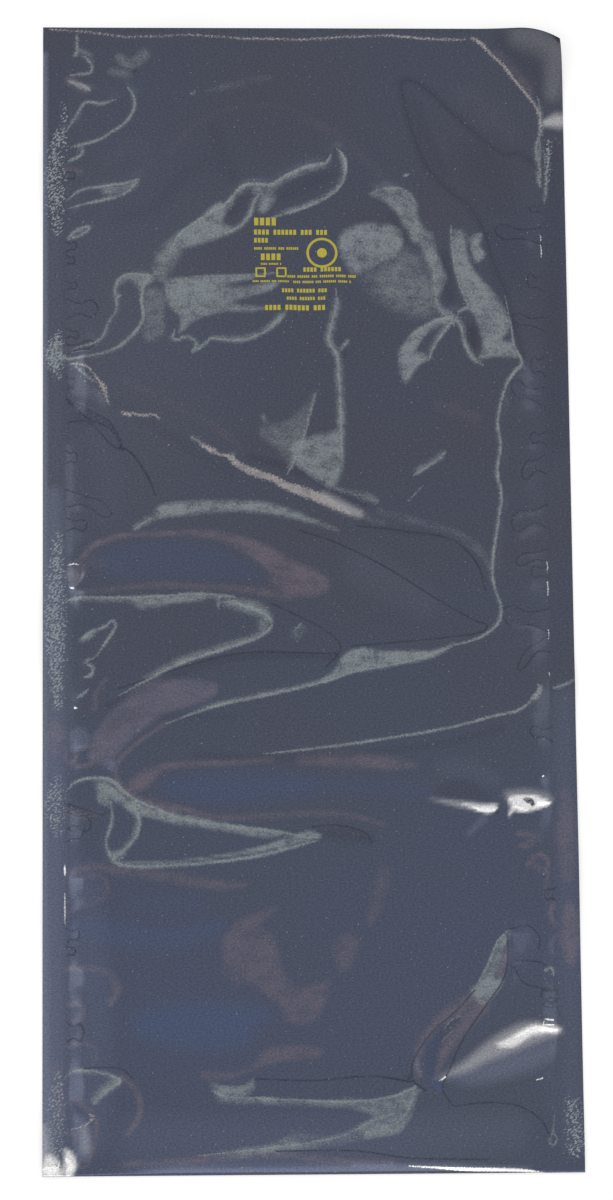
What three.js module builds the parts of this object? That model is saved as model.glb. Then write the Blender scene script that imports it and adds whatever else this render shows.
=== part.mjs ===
// An empty static shielding pouch for circuit boards, lying on its back on a table.
//
// It is one web of metallised film, folded across the foot and heat sealed down both sides, so
// that it opens at the mouth. The mouth is cut straight across, with no zip and no flap. The seals
// are a little shorter than the film between them, so the front panel stands off the back panel in
// a low pillow, gathers into puckers along the seals and carries the long creases of handling. One
// corner of the mouth curls up off the table.
//
// Units are millimetres. X runs across the pouch, +Y from the foot to the mouth and +Z up, and the
// origin is on the table under the middle of the pouch.
import * as THREE from "three";

// The pouch
const pouchWidth = 254; // between the seals
const pouchLength = 610; // from the foot to the mouth
const sealWidth = 12; // of each side seal
const filmThickness = 0.08; // of one layer

// How the film stands off the table
const pillowHeight = 8.4; // the front film's height over the back film, away from the edges
const sideFlatness = 4.5; // how squarely the pillow rises at the seals, a power
const sideSoftness = 0.62; // how softly it meets them, a power
const footRise = 13; // the distance from the foot in which the pillow fills
const mouthHeight = 6.6; // the middle of the front lip, over the back film
const mouthSlope = 70; // the length over which the pillow comes down to the lip
const clearance = 0.3; // the least gap inside the pouch, away from its edges

// The curled corner, at the right of the mouth
const curlAlongMouth = 47; // from the corner to where the curl's crease meets the mouth
const curlAlongSeal = 51; // from the corner to where it meets the side
const curlRadius = 50;
const cornerDraw = 7; // how far the shrunk seal draws the tip of the corner towards the foot

// The mesh that the film is divided into
const rowPitch = 8.6;
const columnPitch = 8.3;
const lipRows = 3; // closer rows at the foot, where the film turns round
const lipPitch = 3.2;

// The front lip is drawn back from the back lip where it stands up: places across, and how far.
const lipPlaces = [
  [-127, 0], [-112, 1.8], [-95, 4.4], [-75, 3.8], [-60, 2.9], [-35, 4.9], [0, 5.4],
  [25, 3.7], [45, 2.9], [68, 4.9], [85, 5.2], [92, 3.2], [105, 1.2], [127, 0],
];

const halfPouch = pouchWidth / 2;
const halfBag = halfPouch + sealWidth;
const halfLength = pouchLength / 2;

// The places of folds were read off a pouch of this size, and spread with the pouch.
const foldMapWidth = 254;
const foldMapLength = 610;
const place = ([x, y]) => new THREE.Vector2(
  (x * pouchWidth) / foldMapWidth,
  (y * pouchLength) / foldMapLength,
);

// Creases and rolls of the front film. Each is a line of places, the height of its crest, and how
// wide it falls off to the left and to the right of the way that the line runs.
const creases = [
  // The long diagonal, from the left seal to the middle
  { line: [[-126, 121], [-100, 102], [-60, 80], [-20, 60], [10, 48], [45, 33]], height: 3.0, left: 22, right: 10 },
  // The belly under it, that crosses the whole pouch
  { line: [[-116, 9], [-70, 15], [-20, 13], [30, 3], [86, -18]], height: 3.0, left: 17, right: 18 },
  // The tongue under the belly
  { line: [[-96, -31], [-60, -24], [-26, -17]], height: 1.9, left: 11, right: 13 },
  // The long crease that comes down the right side and turns across the middle
  {
    line: [
      [113, 121], [103, 103], [101, 80], [101, 45], [97, 8], [100, -12],
      [90, -27], [60, -35], [22, -39], [0, -51], [-40, -60], [-74, -72],
    ],
    height: 2.5,
    left: 18,
    right: 10,
  },
  // The crease across the lower right
  { line: [[-25, -87], [20, -83], [70, -75], [104, -66], [122, -56]], height: 2.1, left: 18, right: 10 },
  // The hip under it
  { line: [[-96, -91], [-60, -101], [0, -106], [56, -110]], height: 2.1, left: 10, right: 12 },
  // The upper swell, by the print
  { line: [[-72, 183], [-45, 203], [-10, 217], [17, 229]], height: 2.6, left: 13, right: 15 },
  // The shoulder, down to the right seal
  { line: [[42, 211], [60, 192], [80, 166], [98, 138], [111, 124]], height: 2.5, left: 12, right: 16 },
  // The star of creases inside the shoulder
  { line: [[78, 144], [70, 136], [66, 122]], height: 1.6, left: 8, right: 8 },
  { line: [[78, 144], [85, 138], [90, 122]], height: 1.6, left: 8, right: 8 },
  // The upright crease in the middle
  { line: [[16, 166], [12, 138], [17, 110], [17, 78]], height: 1.8, left: 9, right: 10 },
  // The rolls beside the print
  { line: [[-74, 156], [-45, 158], [-16, 162]], height: 1.6, left: 10, right: 12 },
  { line: [[-66, 134], [-40, 134], [-10, 148]], height: 1.3, left: 8, right: 8 },
  // The pleat at the lower right
  {
    line: [[100, -183], [95, -200], [83, -214], [70, -229], [60, -243], [59, -254], [67, -267]],
    height: 2.8,
    left: 9,
    right: 9,
  },
  // Two short stiff creases that run out of the right seal
  { line: [[66, -112], [95, -116], [124, -114]], height: 2.3, left: 9, right: 10 },
  { line: [[68, -255], [95, -242], [124, -231]], height: 2.6, left: 12, right: 10 },
  // The roll over the foot
  { line: [[-54, -262], [0, -273], [48, -273]], height: 1.9, left: 10, right: 11 },
  // The long fingers that run out of the left seal
  { line: [[-126, 262], [-94, 264]], height: 2.1, left: 11, right: 11 },
  { line: [[-126, 209], [-90, 220]], height: 1.5, left: 7, right: 7 },
  { line: [[-126, 127], [-110, 130], [-98, 139], [-94, 152], [-91, 166]], height: 2.0, left: 8, right: 8 },
  { line: [[-125, 8], [-119, 8]], height: 1.8, left: 8, right: 8 },
  { line: [[-124, -156], [-108, -157]], height: 1.6, left: 8, right: 8 },
  { line: [[-122, -206], [-104, -206]], height: 1.5, left: 9, right: 9 },
  { line: [[-122, -262], [-100, -268]], height: 2.0, left: 13, right: 13 },
  // and out of the right seal
  { line: [[126, 191], [104, 193]], height: 1.5, left: 7, right: 7 },
  { line: [[124, -22], [106, -20]], height: 1.6, left: 9, right: 9 },
];

// The wedge at the lower left: a flat raised panel with a soft rim.
const wedge = {
  outline: [[-110, -99], [-90, -111], [-40, -124], [4, -131], [-40, -140], [-98, -143], [-109, -133]],
  height: 2.3,
  rim: 11,
};

// Short puckers, where the front film is gathered into each seal: their places up the seal.
const pucker = { length: 15, height: 1.1, width: 6 };
const leftPuckers = [286, 240, 193, 172, 98, 75, 46, -33, -56, -79, -117, -126, -141, -181, -222, -241, -284];
const rightPuckers = [204, 166, 146, 118, 79, 50, 19, 1, -81, -98, -132, -147, -171, -193, -215, -274, -289];

// Where the seals, and the back film by them, arch up off the table: place, length and height.
const leftArches = [[222, 27, 1.7], [126, 12, 0.9], [-22, 24, 1.9], [-106, 10, 0.8], [-170, 26, 0.7], [-286, 18, 1.5]];
const rightArches = [[150, 40, 0.6], [-51, 12, 1.2], [-148, 34, 1.4], [-290, 15, 1.0]];
const archReach = 26; // from the side of the bag to where the back film lies flat again

const smooth = (low, high, value) => {
  const t = THREE.MathUtils.clamp((value - low) / (high - low), 0, 1);
  return t * t * (3 - 2 * t);
};
const bell = (distance, width) => Math.exp(-((distance / width) ** 2));

// The nearest place on a line of points: how far off it is, which side of the line the point is
// on, and how far along the line it lies, from 0 to 1.
function nearestOn(points, point) {
  const lengths = points.slice(1).map((end, i) => end.distanceTo(points[i]));
  const total = lengths.reduce((sum, length) => sum + length, 0);
  let best = { distance: Infinity };
  let before = 0;
  lengths.forEach((length, i) => {
    const along = points[i + 1].clone().sub(points[i]).divideScalar(length);
    const offset = point.clone().sub(points[i]);
    const run = THREE.MathUtils.clamp(offset.dot(along), 0, length);
    const away = offset.clone().addScaledVector(along, -run);
    if (away.length() < best.distance)
      best = {
        distance: away.length(),
        left: along.cross(offset) > 0,
        share: (before + run) / total,
      };
    before += length;
  });
  return best;
}

// A polyline through the places, rounded at its corners.
const rounded = (places, closed = false) => new THREE.CatmullRomCurve3(
  places.map(place).map(({ x, y }) => new THREE.Vector3(x, y, 0)),
  closed,
  "centripetal",
).getPoints(places.length * 3).map(({ x, y }) => new THREE.Vector2(x, y));

const creaseLines = creases.map(({ line, ...shape }) => ({ points: rounded(line), ...shape }));
const wedgeRim = rounded(wedge.outline, true);

function insideOutline(points, point) {
  let inside = false;
  points.forEach((a, i) => {
    const b = points[(i + 1) % points.length];
    const crosses = a.y > point.y !== b.y > point.y;
    if (crosses && point.x < a.x + ((b.x - a.x) * (point.y - a.y)) / (b.y - a.y)) inside = !inside;
  });
  return inside;
}

// The relief of the front film over its plain pillow.
function reliefAt(x, y) {
  const point = new THREE.Vector2(x, y);
  let relief = 0;
  for (const { points, height, left, right } of creaseLines) {
    const near = nearestOn(points, point);
    relief += height * bell(near.distance, near.left ? left : right);
  }
  if (insideOutline(wedgeRim, point))
    relief += wedge.height * smooth(0, wedge.rim, nearestOn(wedgeRim, point).distance);
  const fromSeal = halfPouch - Math.abs(x);
  for (const spot of x < 0 ? leftPuckers : rightPuckers)
    relief += pucker.height * bell(fromSeal, pucker.length) * bell(y - place([0, spot]).y, pucker.width);
  return relief;
}

// How high the back film lies over the table.
function backHeight(x, y) {
  const reach = smooth(halfBag - archReach, halfBag, Math.abs(x));
  return (x < 0 ? leftArches : rightArches).reduce(
    (sum, [spot, length, height]) => sum + reach * height * bell(y - place([0, spot]).y, length),
    0,
  );
}

// How far the front film stands off the back film, from outside to outside.
function standOff(x, y) {
  const fromSide = Math.min(Math.abs(x) / halfPouch, 1);
  const side = (1 - fromSide ** sideFlatness) ** sideSoftness;
  const fromFoot = y + halfLength;
  const foot = 1 - Math.exp(-fromFoot / footRise);
  const toMouth = smooth(halfLength - mouthSlope, halfLength, y);
  const pillow = THREE.MathUtils.lerp(pillowHeight, mouthHeight, toMouth) * side * foot;
  const settled = smooth(0, 4, halfPouch - Math.abs(x)) * foot;
  const gap = pillow + (reliefAt(x, y) + clearance) * settled;
  return 2 * filmThickness + Math.max(gap, 0);
}

// The front lip is drawn back by its places, and the film by the mouth slides towards the foot with it.
function drawnBack(x, y) {
  const atMouth = smooth(halfLength - mouthSlope, halfLength, y);
  const next = lipPlaces.findIndex((spot) => place(spot).x >= x);
  if (next < 1) return y;
  const [from, to] = [lipPlaces[next - 1], lipPlaces[next]];
  const share = (x - place(from).x) / (place(to).x - place(from).x);
  return y - atMouth * THREE.MathUtils.lerp(from[1], to[1], share);
}

// Rolls the corner of the mouth up over its crease, and draws its outer half in by the seal.
const corner = new THREE.Vector2(halfBag, halfLength);
const creaseAtMouth = corner.clone().sub(new THREE.Vector2(curlAlongMouth, 0));
const creaseAtSide = corner.clone().sub(new THREE.Vector2(0, curlAlongSeal));
const creaseRun = creaseAtSide.clone().sub(creaseAtMouth).normalize();
const outward = new THREE.Vector2(-creaseRun.y, creaseRun.x);
const cornerDepth = corner.clone().sub(creaseAtMouth).dot(outward);
function curled([x, y, z]) {
  const beyond = new THREE.Vector2(x, y).sub(creaseAtMouth).dot(outward);
  if (beyond <= 0) return [x, y, z];
  const turn = beyond / curlRadius;
  const reach = (curlRadius - z) * Math.sin(turn);
  const rise = curlRadius - (curlRadius - z) * Math.cos(turn);
  const outerHalf = Math.max(0, (2 * beyond) / cornerDepth - 1);
  const pull = reach - beyond;
  return [x + outward.x * pull, y + outward.y * pull - cornerDraw * outerHalf ** 2, rise];
}

// Rows run from the foot to the mouth, closer together where the film turns round at the foot.
const rows = Array.from({ length: lipRows }, (_, i) => -halfLength + i * lipPitch);
const evenRun = pouchLength - lipRows * lipPitch;
const evenRows = Math.round(evenRun / rowPitch);
for (let i = 0; i <= evenRows; i++) rows.push(halfLength - evenRun + (i * evenRun) / evenRows);

// Columns run from the left side to the right side, with the edges of the seals among them.
const pouchColumns = Math.round(pouchWidth / columnPitch);
const acrossPouch = Array.from(
  { length: pouchColumns + 1 },
  (_, i) => -halfPouch + (i * pouchWidth) / pouchColumns,
);
const acrossBag = [-halfBag, ...acrossPouch, halfBag];

// The back film is flat away from its arches and its curled corner, and needs few columns there.
const archColumns = acrossPouch.filter((x) => Math.abs(x) > halfBag - archReach - columnPitch);
const curlTop = halfLength - curlAlongSeal - rowPitch;
const curlSide = halfBag - curlAlongMouth - columnPitch;
function backColumns(row) {
  if (row === 0) return acrossPouch;
  const needed = (x) => archColumns.includes(x) || (rows[row] > curlTop && x > curlSide);
  return acrossPouch.filter(needed);
}

// Each layer's row of points, from left to right, with the columns that they stand on.
const lastRow = rows.length - 1;
function frontOutside(row) {
  const y = rows[row];
  const points = acrossBag.map((x) => curled([x, drawnBack(x, y), backHeight(x, y) + standOff(x, y)]));
  return { at: acrossBag, points };
}
function frontInside(row) {
  const y = rows[row];
  const points = acrossPouch.map((x, i) => {
    const welded = row === 0 || i === 0 || i === acrossPouch.length - 1;
    const height = welded ? filmThickness : standOff(x, y) - filmThickness;
    return curled([x, welded ? y : drawnBack(x, y), backHeight(x, y) + height]);
  });
  return { at: acrossPouch, points };
}
function backFilm(row, at, height) {
  const y = rows[row];
  return { at, points: at.map((x) => curled([x, y, backHeight(x, y) + height])) };
}
const backInside = (row) => backFilm(row, backColumns(row), filmThickness);
const backOutside = (row) => backFilm(row, [-halfBag, ...backColumns(row), halfBag], 0);

const corners = [];
const triangle = (...points) => points.forEach((point) => corners.push(...point));

// Fills between two lines of points that run the same way and may have different numbers of points.
// The two sides of a film are filled alike, with one of them turned over, so that they never cross.
function fill(first, second, turnedOver = false) {
  const add = turnedOver ? (a, b, c) => triangle(a, c, b) : triangle;
  let i = 0;
  let j = 0;
  while (i < first.at.length - 1 || j < second.at.length - 1) {
    const firstNext = first.at[i + 1] ?? Infinity;
    const secondNext = second.at[j + 1] ?? Infinity;
    if (firstNext <= secondNext) {
      add(first.points[i], first.points[i + 1], second.points[j]);
      i += 1;
    } else {
      add(first.points[i], second.points[j + 1], second.points[j]);
      j += 1;
    }
  }
}

for (let row = 0; row < lastRow; row++) {
  fill(frontOutside(row), frontOutside(row + 1));
  fill(frontInside(row), frontInside(row + 1), true);
  fill(backInside(row), backInside(row + 1));
  fill(backOutside(row), backOutside(row + 1), true);
}

// The fold across the foot, and the cut edges of the seals
fill(backOutside(0), frontOutside(0));
const side = (layer, end) => ({ at: rows, points: rows.map((_, row) => layer(row).points.at(end)) });
fill(side(frontOutside, 0), side(backOutside, 0));
fill(side(backOutside, -1), side(frontOutside, -1));

// The cut edges of both films at the mouth, and the ends of the seals beside them
const part = ({ at, points }, from, to) => ({ at: at.slice(from, to), points: points.slice(from, to) });
const lip = {
  front: frontOutside(lastRow),
  frontInside: frontInside(lastRow),
  backInside: backInside(lastRow),
  back: backOutside(lastRow),
};
fill(part(lip.front, 1, -1), lip.frontInside);
fill(lip.backInside, part(lip.back, 1, -1));
const [leftWeld, rightWeld] = [lip.frontInside.points[0], lip.frontInside.points.at(-1)];
triangle(lip.front.points[0], lip.front.points[1], leftWeld);
triangle(lip.front.points[0], leftWeld, lip.back.points[0]);
triangle(lip.back.points[0], leftWeld, lip.back.points[1]);
triangle(lip.front.points.at(-2), lip.front.points.at(-1), rightWeld);
triangle(rightWeld, lip.front.points.at(-1), lip.back.points.at(-1));
triangle(rightWeld, lip.back.points.at(-1), lip.back.points.at(-2));

const geometry = new THREE.BufferGeometry();
geometry.setAttribute("position", new THREE.Float32BufferAttribute(corners, 3));
geometry.computeVertexNormals();

const film = new THREE.MeshStandardMaterial({ color: 0x484d60, roughness: 0.28, metalness: 0.6 });
const pouch = new THREE.Mesh(geometry, film);
pouch.name = "pouch";

const bag = new THREE.Group();
bag.add(pouch);
export default bag;
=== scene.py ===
# %% [markdown]
# # An empty static shielding pouch
#
# The real object is one web of metallised film, folded across its foot and heat sealed down both
# long sides. It lies on its back, so nearly all of its look comes from how thin stiff film creases,
# and from how those creases catch the light. The solid model holds its size and its main swells.
# This script dresses it with the fine film.

# %% Load the frame
import math

import bmesh
import bpy
import numpy as np
from mathutils import Matrix, Vector


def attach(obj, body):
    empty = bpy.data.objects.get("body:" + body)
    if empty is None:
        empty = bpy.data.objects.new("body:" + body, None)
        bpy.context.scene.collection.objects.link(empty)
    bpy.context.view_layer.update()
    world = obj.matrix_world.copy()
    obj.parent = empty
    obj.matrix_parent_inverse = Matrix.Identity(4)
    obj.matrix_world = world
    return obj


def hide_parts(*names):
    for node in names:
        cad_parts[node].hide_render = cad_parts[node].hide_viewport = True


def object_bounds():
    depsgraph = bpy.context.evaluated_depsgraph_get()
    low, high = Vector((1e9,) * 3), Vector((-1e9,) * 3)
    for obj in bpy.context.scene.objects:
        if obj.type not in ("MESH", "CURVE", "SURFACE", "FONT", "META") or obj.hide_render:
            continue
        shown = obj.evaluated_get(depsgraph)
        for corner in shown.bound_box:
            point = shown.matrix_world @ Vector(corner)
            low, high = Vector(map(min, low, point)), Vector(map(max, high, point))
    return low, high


MM = 0.001
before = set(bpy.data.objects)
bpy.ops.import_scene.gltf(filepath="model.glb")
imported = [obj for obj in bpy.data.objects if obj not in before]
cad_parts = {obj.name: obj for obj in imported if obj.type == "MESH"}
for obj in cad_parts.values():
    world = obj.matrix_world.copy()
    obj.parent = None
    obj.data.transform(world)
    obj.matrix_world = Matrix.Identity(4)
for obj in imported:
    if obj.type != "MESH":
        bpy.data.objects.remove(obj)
cad_low, cad_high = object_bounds()
print("CAD box in mm:", [round(side / MM, 1) for side in cad_high - cad_low])

# %% [markdown]
# ## The camera
#
# The photograph looks down from about ten degrees off the vertical, from the foot's side and a
# little left of the middle. A very long lens keeps the pouch's sides nearly parallel. A camera that
# looks down has hardly a horizon to stand level with, so its turn is built from the direction that
# runs along the picture's width.

# %% Camera
camera_at = Vector((-97.4, -403.6, 2237.5)) * MM
camera_aim = Vector((-1.1, -6.4, 0.0)) * MM
camera_turn = math.radians(-0.15)

camera_data = bpy.data.cameras.new("camera")
camera_data.lens = 130.3
camera_data.sensor_width = 36
camera_data.clip_end = 50
camera = bpy.data.objects.new("camera", camera_data)
bpy.context.scene.collection.objects.link(camera)
bpy.context.scene.camera = camera

back = (camera_at - camera_aim).normalized()
level = Vector((math.cos(camera_turn), math.sin(camera_turn), 0))
right = (level - back * level.dot(back)).normalized()
above = back.cross(right)
camera.matrix_world = Matrix.Translation(camera_at) @ Matrix((right, above, back)).transposed().to_4x4()
print("camera height in m:", round(camera_at.z, 3))

# %% [markdown]
# ## The stage
#
# The table is a pale floor just under the film. Metallised film mirrors its room, so the lights
# matter more than for cloth: the film that lies flat has to mirror a plain field, and the flanks of
# its creases have to find a lamp. Four long soft lamps therefore stand round the pouch, outside the
# part of the room that the flat film mirrors into the camera.

# %% Floor and world
floor_drop = 0.6 * MM
floor_size = 12.0
floor_colour = (0.82, 0.82, 0.82, 1)
background_lift = 0.5
room_light = 0.55


def new_material(name):
    material = bpy.data.materials.new(name)
    material.use_nodes = True
    material.node_tree.nodes.clear()
    return material, material.node_tree.nodes, material.node_tree.links


def seen_rays(nodes, links):
    """One for rays from the camera and for mirrored and transmitted rays, and nothing for the rest."""
    path = nodes.new("ShaderNodeLightPath")
    seen = nodes.new("ShaderNodeMath")
    seen.operation = "MAXIMUM"
    links.new(path.outputs["Is Camera Ray"], seen.inputs[0])
    links.new(path.outputs["Is Glossy Ray"], seen.inputs[1])
    also = nodes.new("ShaderNodeMath")
    also.operation = "MAXIMUM"
    links.new(seen.outputs[0], also.inputs[0])
    links.new(path.outputs["Is Transmission Ray"], also.inputs[1])
    return also.outputs[0]


def floor_material():
    material, nodes, links = new_material("table_white")
    paper = nodes.new("ShaderNodeBsdfDiffuse")
    paper.inputs["Color"].default_value = floor_colour
    glow = nodes.new("ShaderNodeEmission")
    lift = nodes.new("ShaderNodeMath")
    lift.operation = "MULTIPLY"
    lift.inputs[1].default_value = background_lift
    links.new(seen_rays(nodes, links), lift.inputs[0])
    links.new(lift.outputs[0], glow.inputs["Strength"])
    both = nodes.new("ShaderNodeAddShader")
    links.new(paper.outputs[0], both.inputs[0])
    links.new(glow.outputs[0], both.inputs[1])
    output = nodes.new("ShaderNodeOutputMaterial")
    links.new(both.outputs[0], output.inputs["Surface"])
    return material


floor_form = bmesh.new()
bmesh.ops.create_grid(floor_form, x_segments=1, y_segments=1, size=floor_size / 2)
bmesh.ops.translate(floor_form, verts=floor_form.verts, vec=(0, 0, -floor_drop))
floor_mesh = bpy.data.meshes.new("table")
floor_form.to_mesh(floor_mesh)
floor_form.free()
floor = bpy.data.objects.new("table", floor_mesh)
bpy.context.scene.collection.objects.link(floor)
floor_mesh.materials.append(floor_material())

world = bpy.data.worlds.new("room")
bpy.context.scene.world = world
world.use_nodes = True
world_nodes = world.node_tree.nodes
world_links = world.node_tree.links
world_nodes.clear()
sky = world_nodes.new("ShaderNodeBackground")
sky.inputs["Color"].default_value = (1, 1, 1, 1)
reach = world_nodes.new("ShaderNodeMapRange")
reach.inputs["To Min"].default_value = room_light
reach.inputs["To Max"].default_value = 1.0
world_links.new(seen_rays(world_nodes, world_links), reach.inputs["Value"])
world_links.new(reach.outputs["Result"], sky.inputs["Strength"])
world_output = world_nodes.new("ShaderNodeOutputWorld")
world_links.new(sky.outputs[0], world_output.inputs["Surface"])
bpy.context.scene.view_settings.view_transform = "Standard"

# %% Lamps
# Each lamp: its place in metres, its width and length, its power in watts and its colour
lamps = {
    "left_softbox": ((-1.7, 0.1, 0.95), (0.5, 1.3), 2.5, (1.0, 0.99, 0.92)),
    "right_softbox": ((1.8, 0.0, 0.95), (0.5, 1.3), 1.2, (1.0, 0.99, 0.92)),
    "head_softbox": ((0.1, 2.2, 1.1), (1.4, 0.5), 6, (0.98, 1.0, 0.93)),
    "foot_softbox": ((0.0, -2.0, 1.0), (1.4, 0.5), 4, (1.0, 0.96, 0.92)),
}
for name, (place, (width, length), power, colour) in lamps.items():
    light = bpy.data.lights.new(name, "AREA")
    light.shape = "RECTANGLE"
    light.size = width
    light.size_y = length
    light.energy = power
    light.color = colour
    lamp = bpy.data.objects.new(name, light)
    bpy.context.scene.collection.objects.link(lamp)
    lamp.location = place
    lamp.rotation_euler = (-Vector(place)).to_track_quat("-Z", "Y").to_euler()
print("lamps:", len(lamps))

# %% [markdown]
# ## The web of film
#
# The pouch is modelled as it is made: one long flat web, as a fine grid, that is folded at the foot.
# Every point of the web knows its place on the flat film, across and along, so folds and finish can
# be laid out on the flat front panel in millimetres and then bent into place with it.

# %% Sizes of the web
seal_width = 12.0
film_thickness = 0.08
bag_width = (cad_high.x - cad_low.x) / MM
bag_length = (cad_high.y - cad_low.y) / MM
half_bag = bag_width / 2
half_length = bag_length / 2
half_pouch = half_bag - seal_width

columns = 170
front_rows = 400
back_rows = 158
across = np.linspace(-half_bag, half_bag, columns + 1)
along = np.linspace(-half_length, half_length, front_rows + 1)
across_pitch = across[1] - across[0]
along_pitch = along[1] - along[0]
X, Y = np.meshgrid(across, along)
print("front panel's cells in mm:", round(across_pitch, 2), round(along_pitch, 2))

# %% [markdown]
# ## The pillow
#
# The front film stands off the back film in a low pillow. Its height is needed before anything is
# drawn, because the places of the folds were read from the photograph as they look against the
# table, and film that stands high looks shifted away from under the camera.

# %% Heights of the two films
pillow_height = 8.4
pillow_shoulder = 62.0
foot_rise = 13.0
mouth_height = 6.6
mouth_slope = 70.0
clearance = 0.3
usual_relief = 1.0
arch_reach = 26.0
left_arches = [(222, 27, 1.7), (126, 12, 0.9), (-22, 24, 1.9), (-106, 10, 0.8), (-170, 26, 0.7),
               (-286, 18, 1.5)]
right_arches = [(150, 40, 0.6), (-51, 12, 1.2), (-148, 34, 1.4), (-290, 15, 1.0)]


def smooth(low, high, value):
    share = np.clip((value - low) / (high - low), 0, 1)
    return share * share * (3 - 2 * share)


def bell(distance, width):
    return np.exp(-((distance / width) ** 2))


def back_height(x, y):
    outer = smooth(half_bag - arch_reach, half_bag, np.abs(x))
    left = sum(height * bell(y - place, length) for place, length, height in left_arches)
    right = sum(height * bell(y - place, length) for place, length, height in right_arches)
    return outer * np.where(x < 0, left, right)


def stand_off(x, y):
    """The front film's height over the back film, without its relief."""
    from_seal = np.clip((half_pouch - np.abs(x)) / pillow_shoulder, 0, 1)
    side = 1 - (1 - from_seal) ** 2
    foot = 1 - np.exp(-np.maximum(y + half_length, 0) / foot_rise)
    to_mouth = smooth(half_length - mouth_slope, half_length, y)
    return (pillow_height + (mouth_height - pillow_height) * to_mouth) * side * foot


def under_sight(x, y):
    """The place on the film that looks, from the camera, as if it were at x, y on the table."""
    share = (stand_off(x, y) + usual_relief) / (camera_at.z / MM)
    return x + (camera_at.x / MM - x) * share, y + (camera_at.y / MM - y) * share


print("a place at the head moves by mm:", round(float(300 - under_sight(0, 300)[1]), 1))

# %% [markdown]
# ## Drawing on the film
#
# A fold is drawn as a line of places on the flat front panel, each with the half width of the line
# there. It raises the film and paints light and shade on it, because a crease is where thin film
# both bends and catches light: its tints and lines are painted highlights, painted reflections of
# the room and painted shade. Two kinds of layer are kept. A soft tint is one number at each point of
# the grid, which is fine for a haze. A sharp line would blur there, so for lines the grid holds the
# distance from the line, with a sign for its side, and the line's half width. Those change evenly
# from point to point, and the material finds the line's own edge between them.

# %% The brush
# Where no line is near, a point keeps these: a distance far off the line, and a width below zero
far_off = 50.0
no_width = -5.0
line_catch = 12.0
line_reach = 2.4
end_fade = 0.15
haze_falloff = 1.3
haze_rise_reach = 3.0
relief = np.zeros_like(X)
ridges = np.zeros_like(X)
furrows = np.zeros_like(X)
# Soft tints, all painted light: sheen and gleam are painted highlights, the brownish, bluish and paler
# tints are painted reflections of the room, shade is painted shade, and the seals' specks are painted
# glints
tint = {name: np.zeros_like(X) for name in ("sheen", "warm_reflection", "blue_reflection", "shade", "rim", "gleam", "glint_speck")}
# Sharp lines, all painted light: dark lines are painted shade, the rest painted highlights and glints
line = {
    name: {
        "side": np.full_like(X, far_off),
        "width": np.full_like(X, no_width),
        "score": np.full_like(X, far_off),
    }
    for name in ("dark", "bright", "second", "pale", "glint")
}


def rounded(places, steps=4):
    """Rounds the corners of a line of places, with a Catmull-Rom curve through them."""
    knots = np.array(places, float)
    knots = np.vstack([2 * knots[0] - knots[1], knots, 2 * knots[-1] - knots[-2]])
    curve = [knots[1]]
    for a, b, c, d in zip(knots, knots[1:], knots[2:], knots[3:]):
        for t in np.linspace(0, 1, steps + 1)[1:]:
            bend = (2 * a - 5 * b + 4 * c - d) * t**2 + (3 * b - a - 3 * c + d) * t**3
            curve.append(0.5 * (2 * b + (c - a) * t + bend))
    return np.array(curve)


def laid(places):
    """A line of places as seen on the table, rounded and laid on the film under the line of sight."""
    curve = rounded(places)
    curve[:, 0], curve[:, 1] = under_sight(curve[:, 0], curve[:, 1])
    return curve


def window(low, high, reach):
    """The part of the front panel's grid that lies within reach of a box, as two slices."""
    corner = np.array((-half_bag, -half_length))
    pitch = np.array((across_pitch, along_pitch))
    first = np.maximum(np.floor((low - reach - corner) / pitch).astype(int), 0)
    last = np.maximum(np.ceil((high + reach - corner) / pitch).astype(int), 0)
    return slice(first[1], last[1] + 1), slice(first[0], last[0] + 1)


def measure(places, reach):
    """Each grid point's distance from a line, the half width there, how far it lies past an end,
    whether it is on the left and its share of the line."""
    out_of_reach = 1000.0
    distance = np.full_like(X, out_of_reach)
    width = np.full_like(X, no_width)
    past = np.zeros_like(X)
    left = np.zeros(X.shape, bool)
    share = np.zeros_like(X)
    curve = laid(places)
    last = len(curve) - 2
    for i, (start, end) in enumerate(zip(curve, curve[1:])):
        run = end[:2] - start[:2]
        length = max(np.hypot(*run), 1e-6)
        run = run / length
        near = window(np.minimum(start, end)[:2], np.maximum(start, end)[:2], reach)
        dx = X[near] - start[0]
        dy = Y[near] - start[1]
        ahead = dx * run[0] + dy * run[1]
        t = np.clip(ahead / length, 0, 1)
        away = np.hypot(dx - run[0] * length * t, dy - run[1] * length * t)
        beyond = np.maximum(-ahead, 0) if i == 0 else np.zeros_like(ahead)
        if i == last:
            beyond = np.maximum(beyond, ahead - length)
        closer = away < distance[near]
        distance[near] = np.where(closer, away, distance[near])
        width[near] = np.where(closer, start[2] + (end[2] - start[2]) * t, width[near])
        past[near] = np.where(closer, beyond, past[near])
        left[near] = np.where(closer, run[0] * dy - run[1] * dx > 0, left[near])
        share[near] = np.where(closer, (i + t) / (last + 1), share[near])
    return distance, width, past, left, share


def raise_film(distance, rise, reach):
    """Where creases meet, the film takes the highest ridge or the deepest furrow, not their sum."""
    lift = rise * bell(distance, reach)
    ridges[:] = np.maximum(ridges, lift)
    furrows[:] = np.minimum(furrows, lift)


def haze(name, places, amount=1.0, rise=0.0, edge=0.9):
    """A soft tint of painted light or shade along a line, as wide as its places say, with a soft edge."""
    widest = max(half_width for *_, half_width in places)
    distance, width, _, _, _ = measure(places, max(2.2 * widest + 2, 9))
    width = np.maximum(width, 0.3)
    inner = width * (1 - edge)
    outer = width * (1 + edge) + 0.8
    spread = 1 - smooth(0, 1, (distance - inner) / (outer - inner))
    tint[name][:] = np.maximum(tint[name], amount * spread)
    raise_film(distance, rise, haze_rise_reach)


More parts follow.
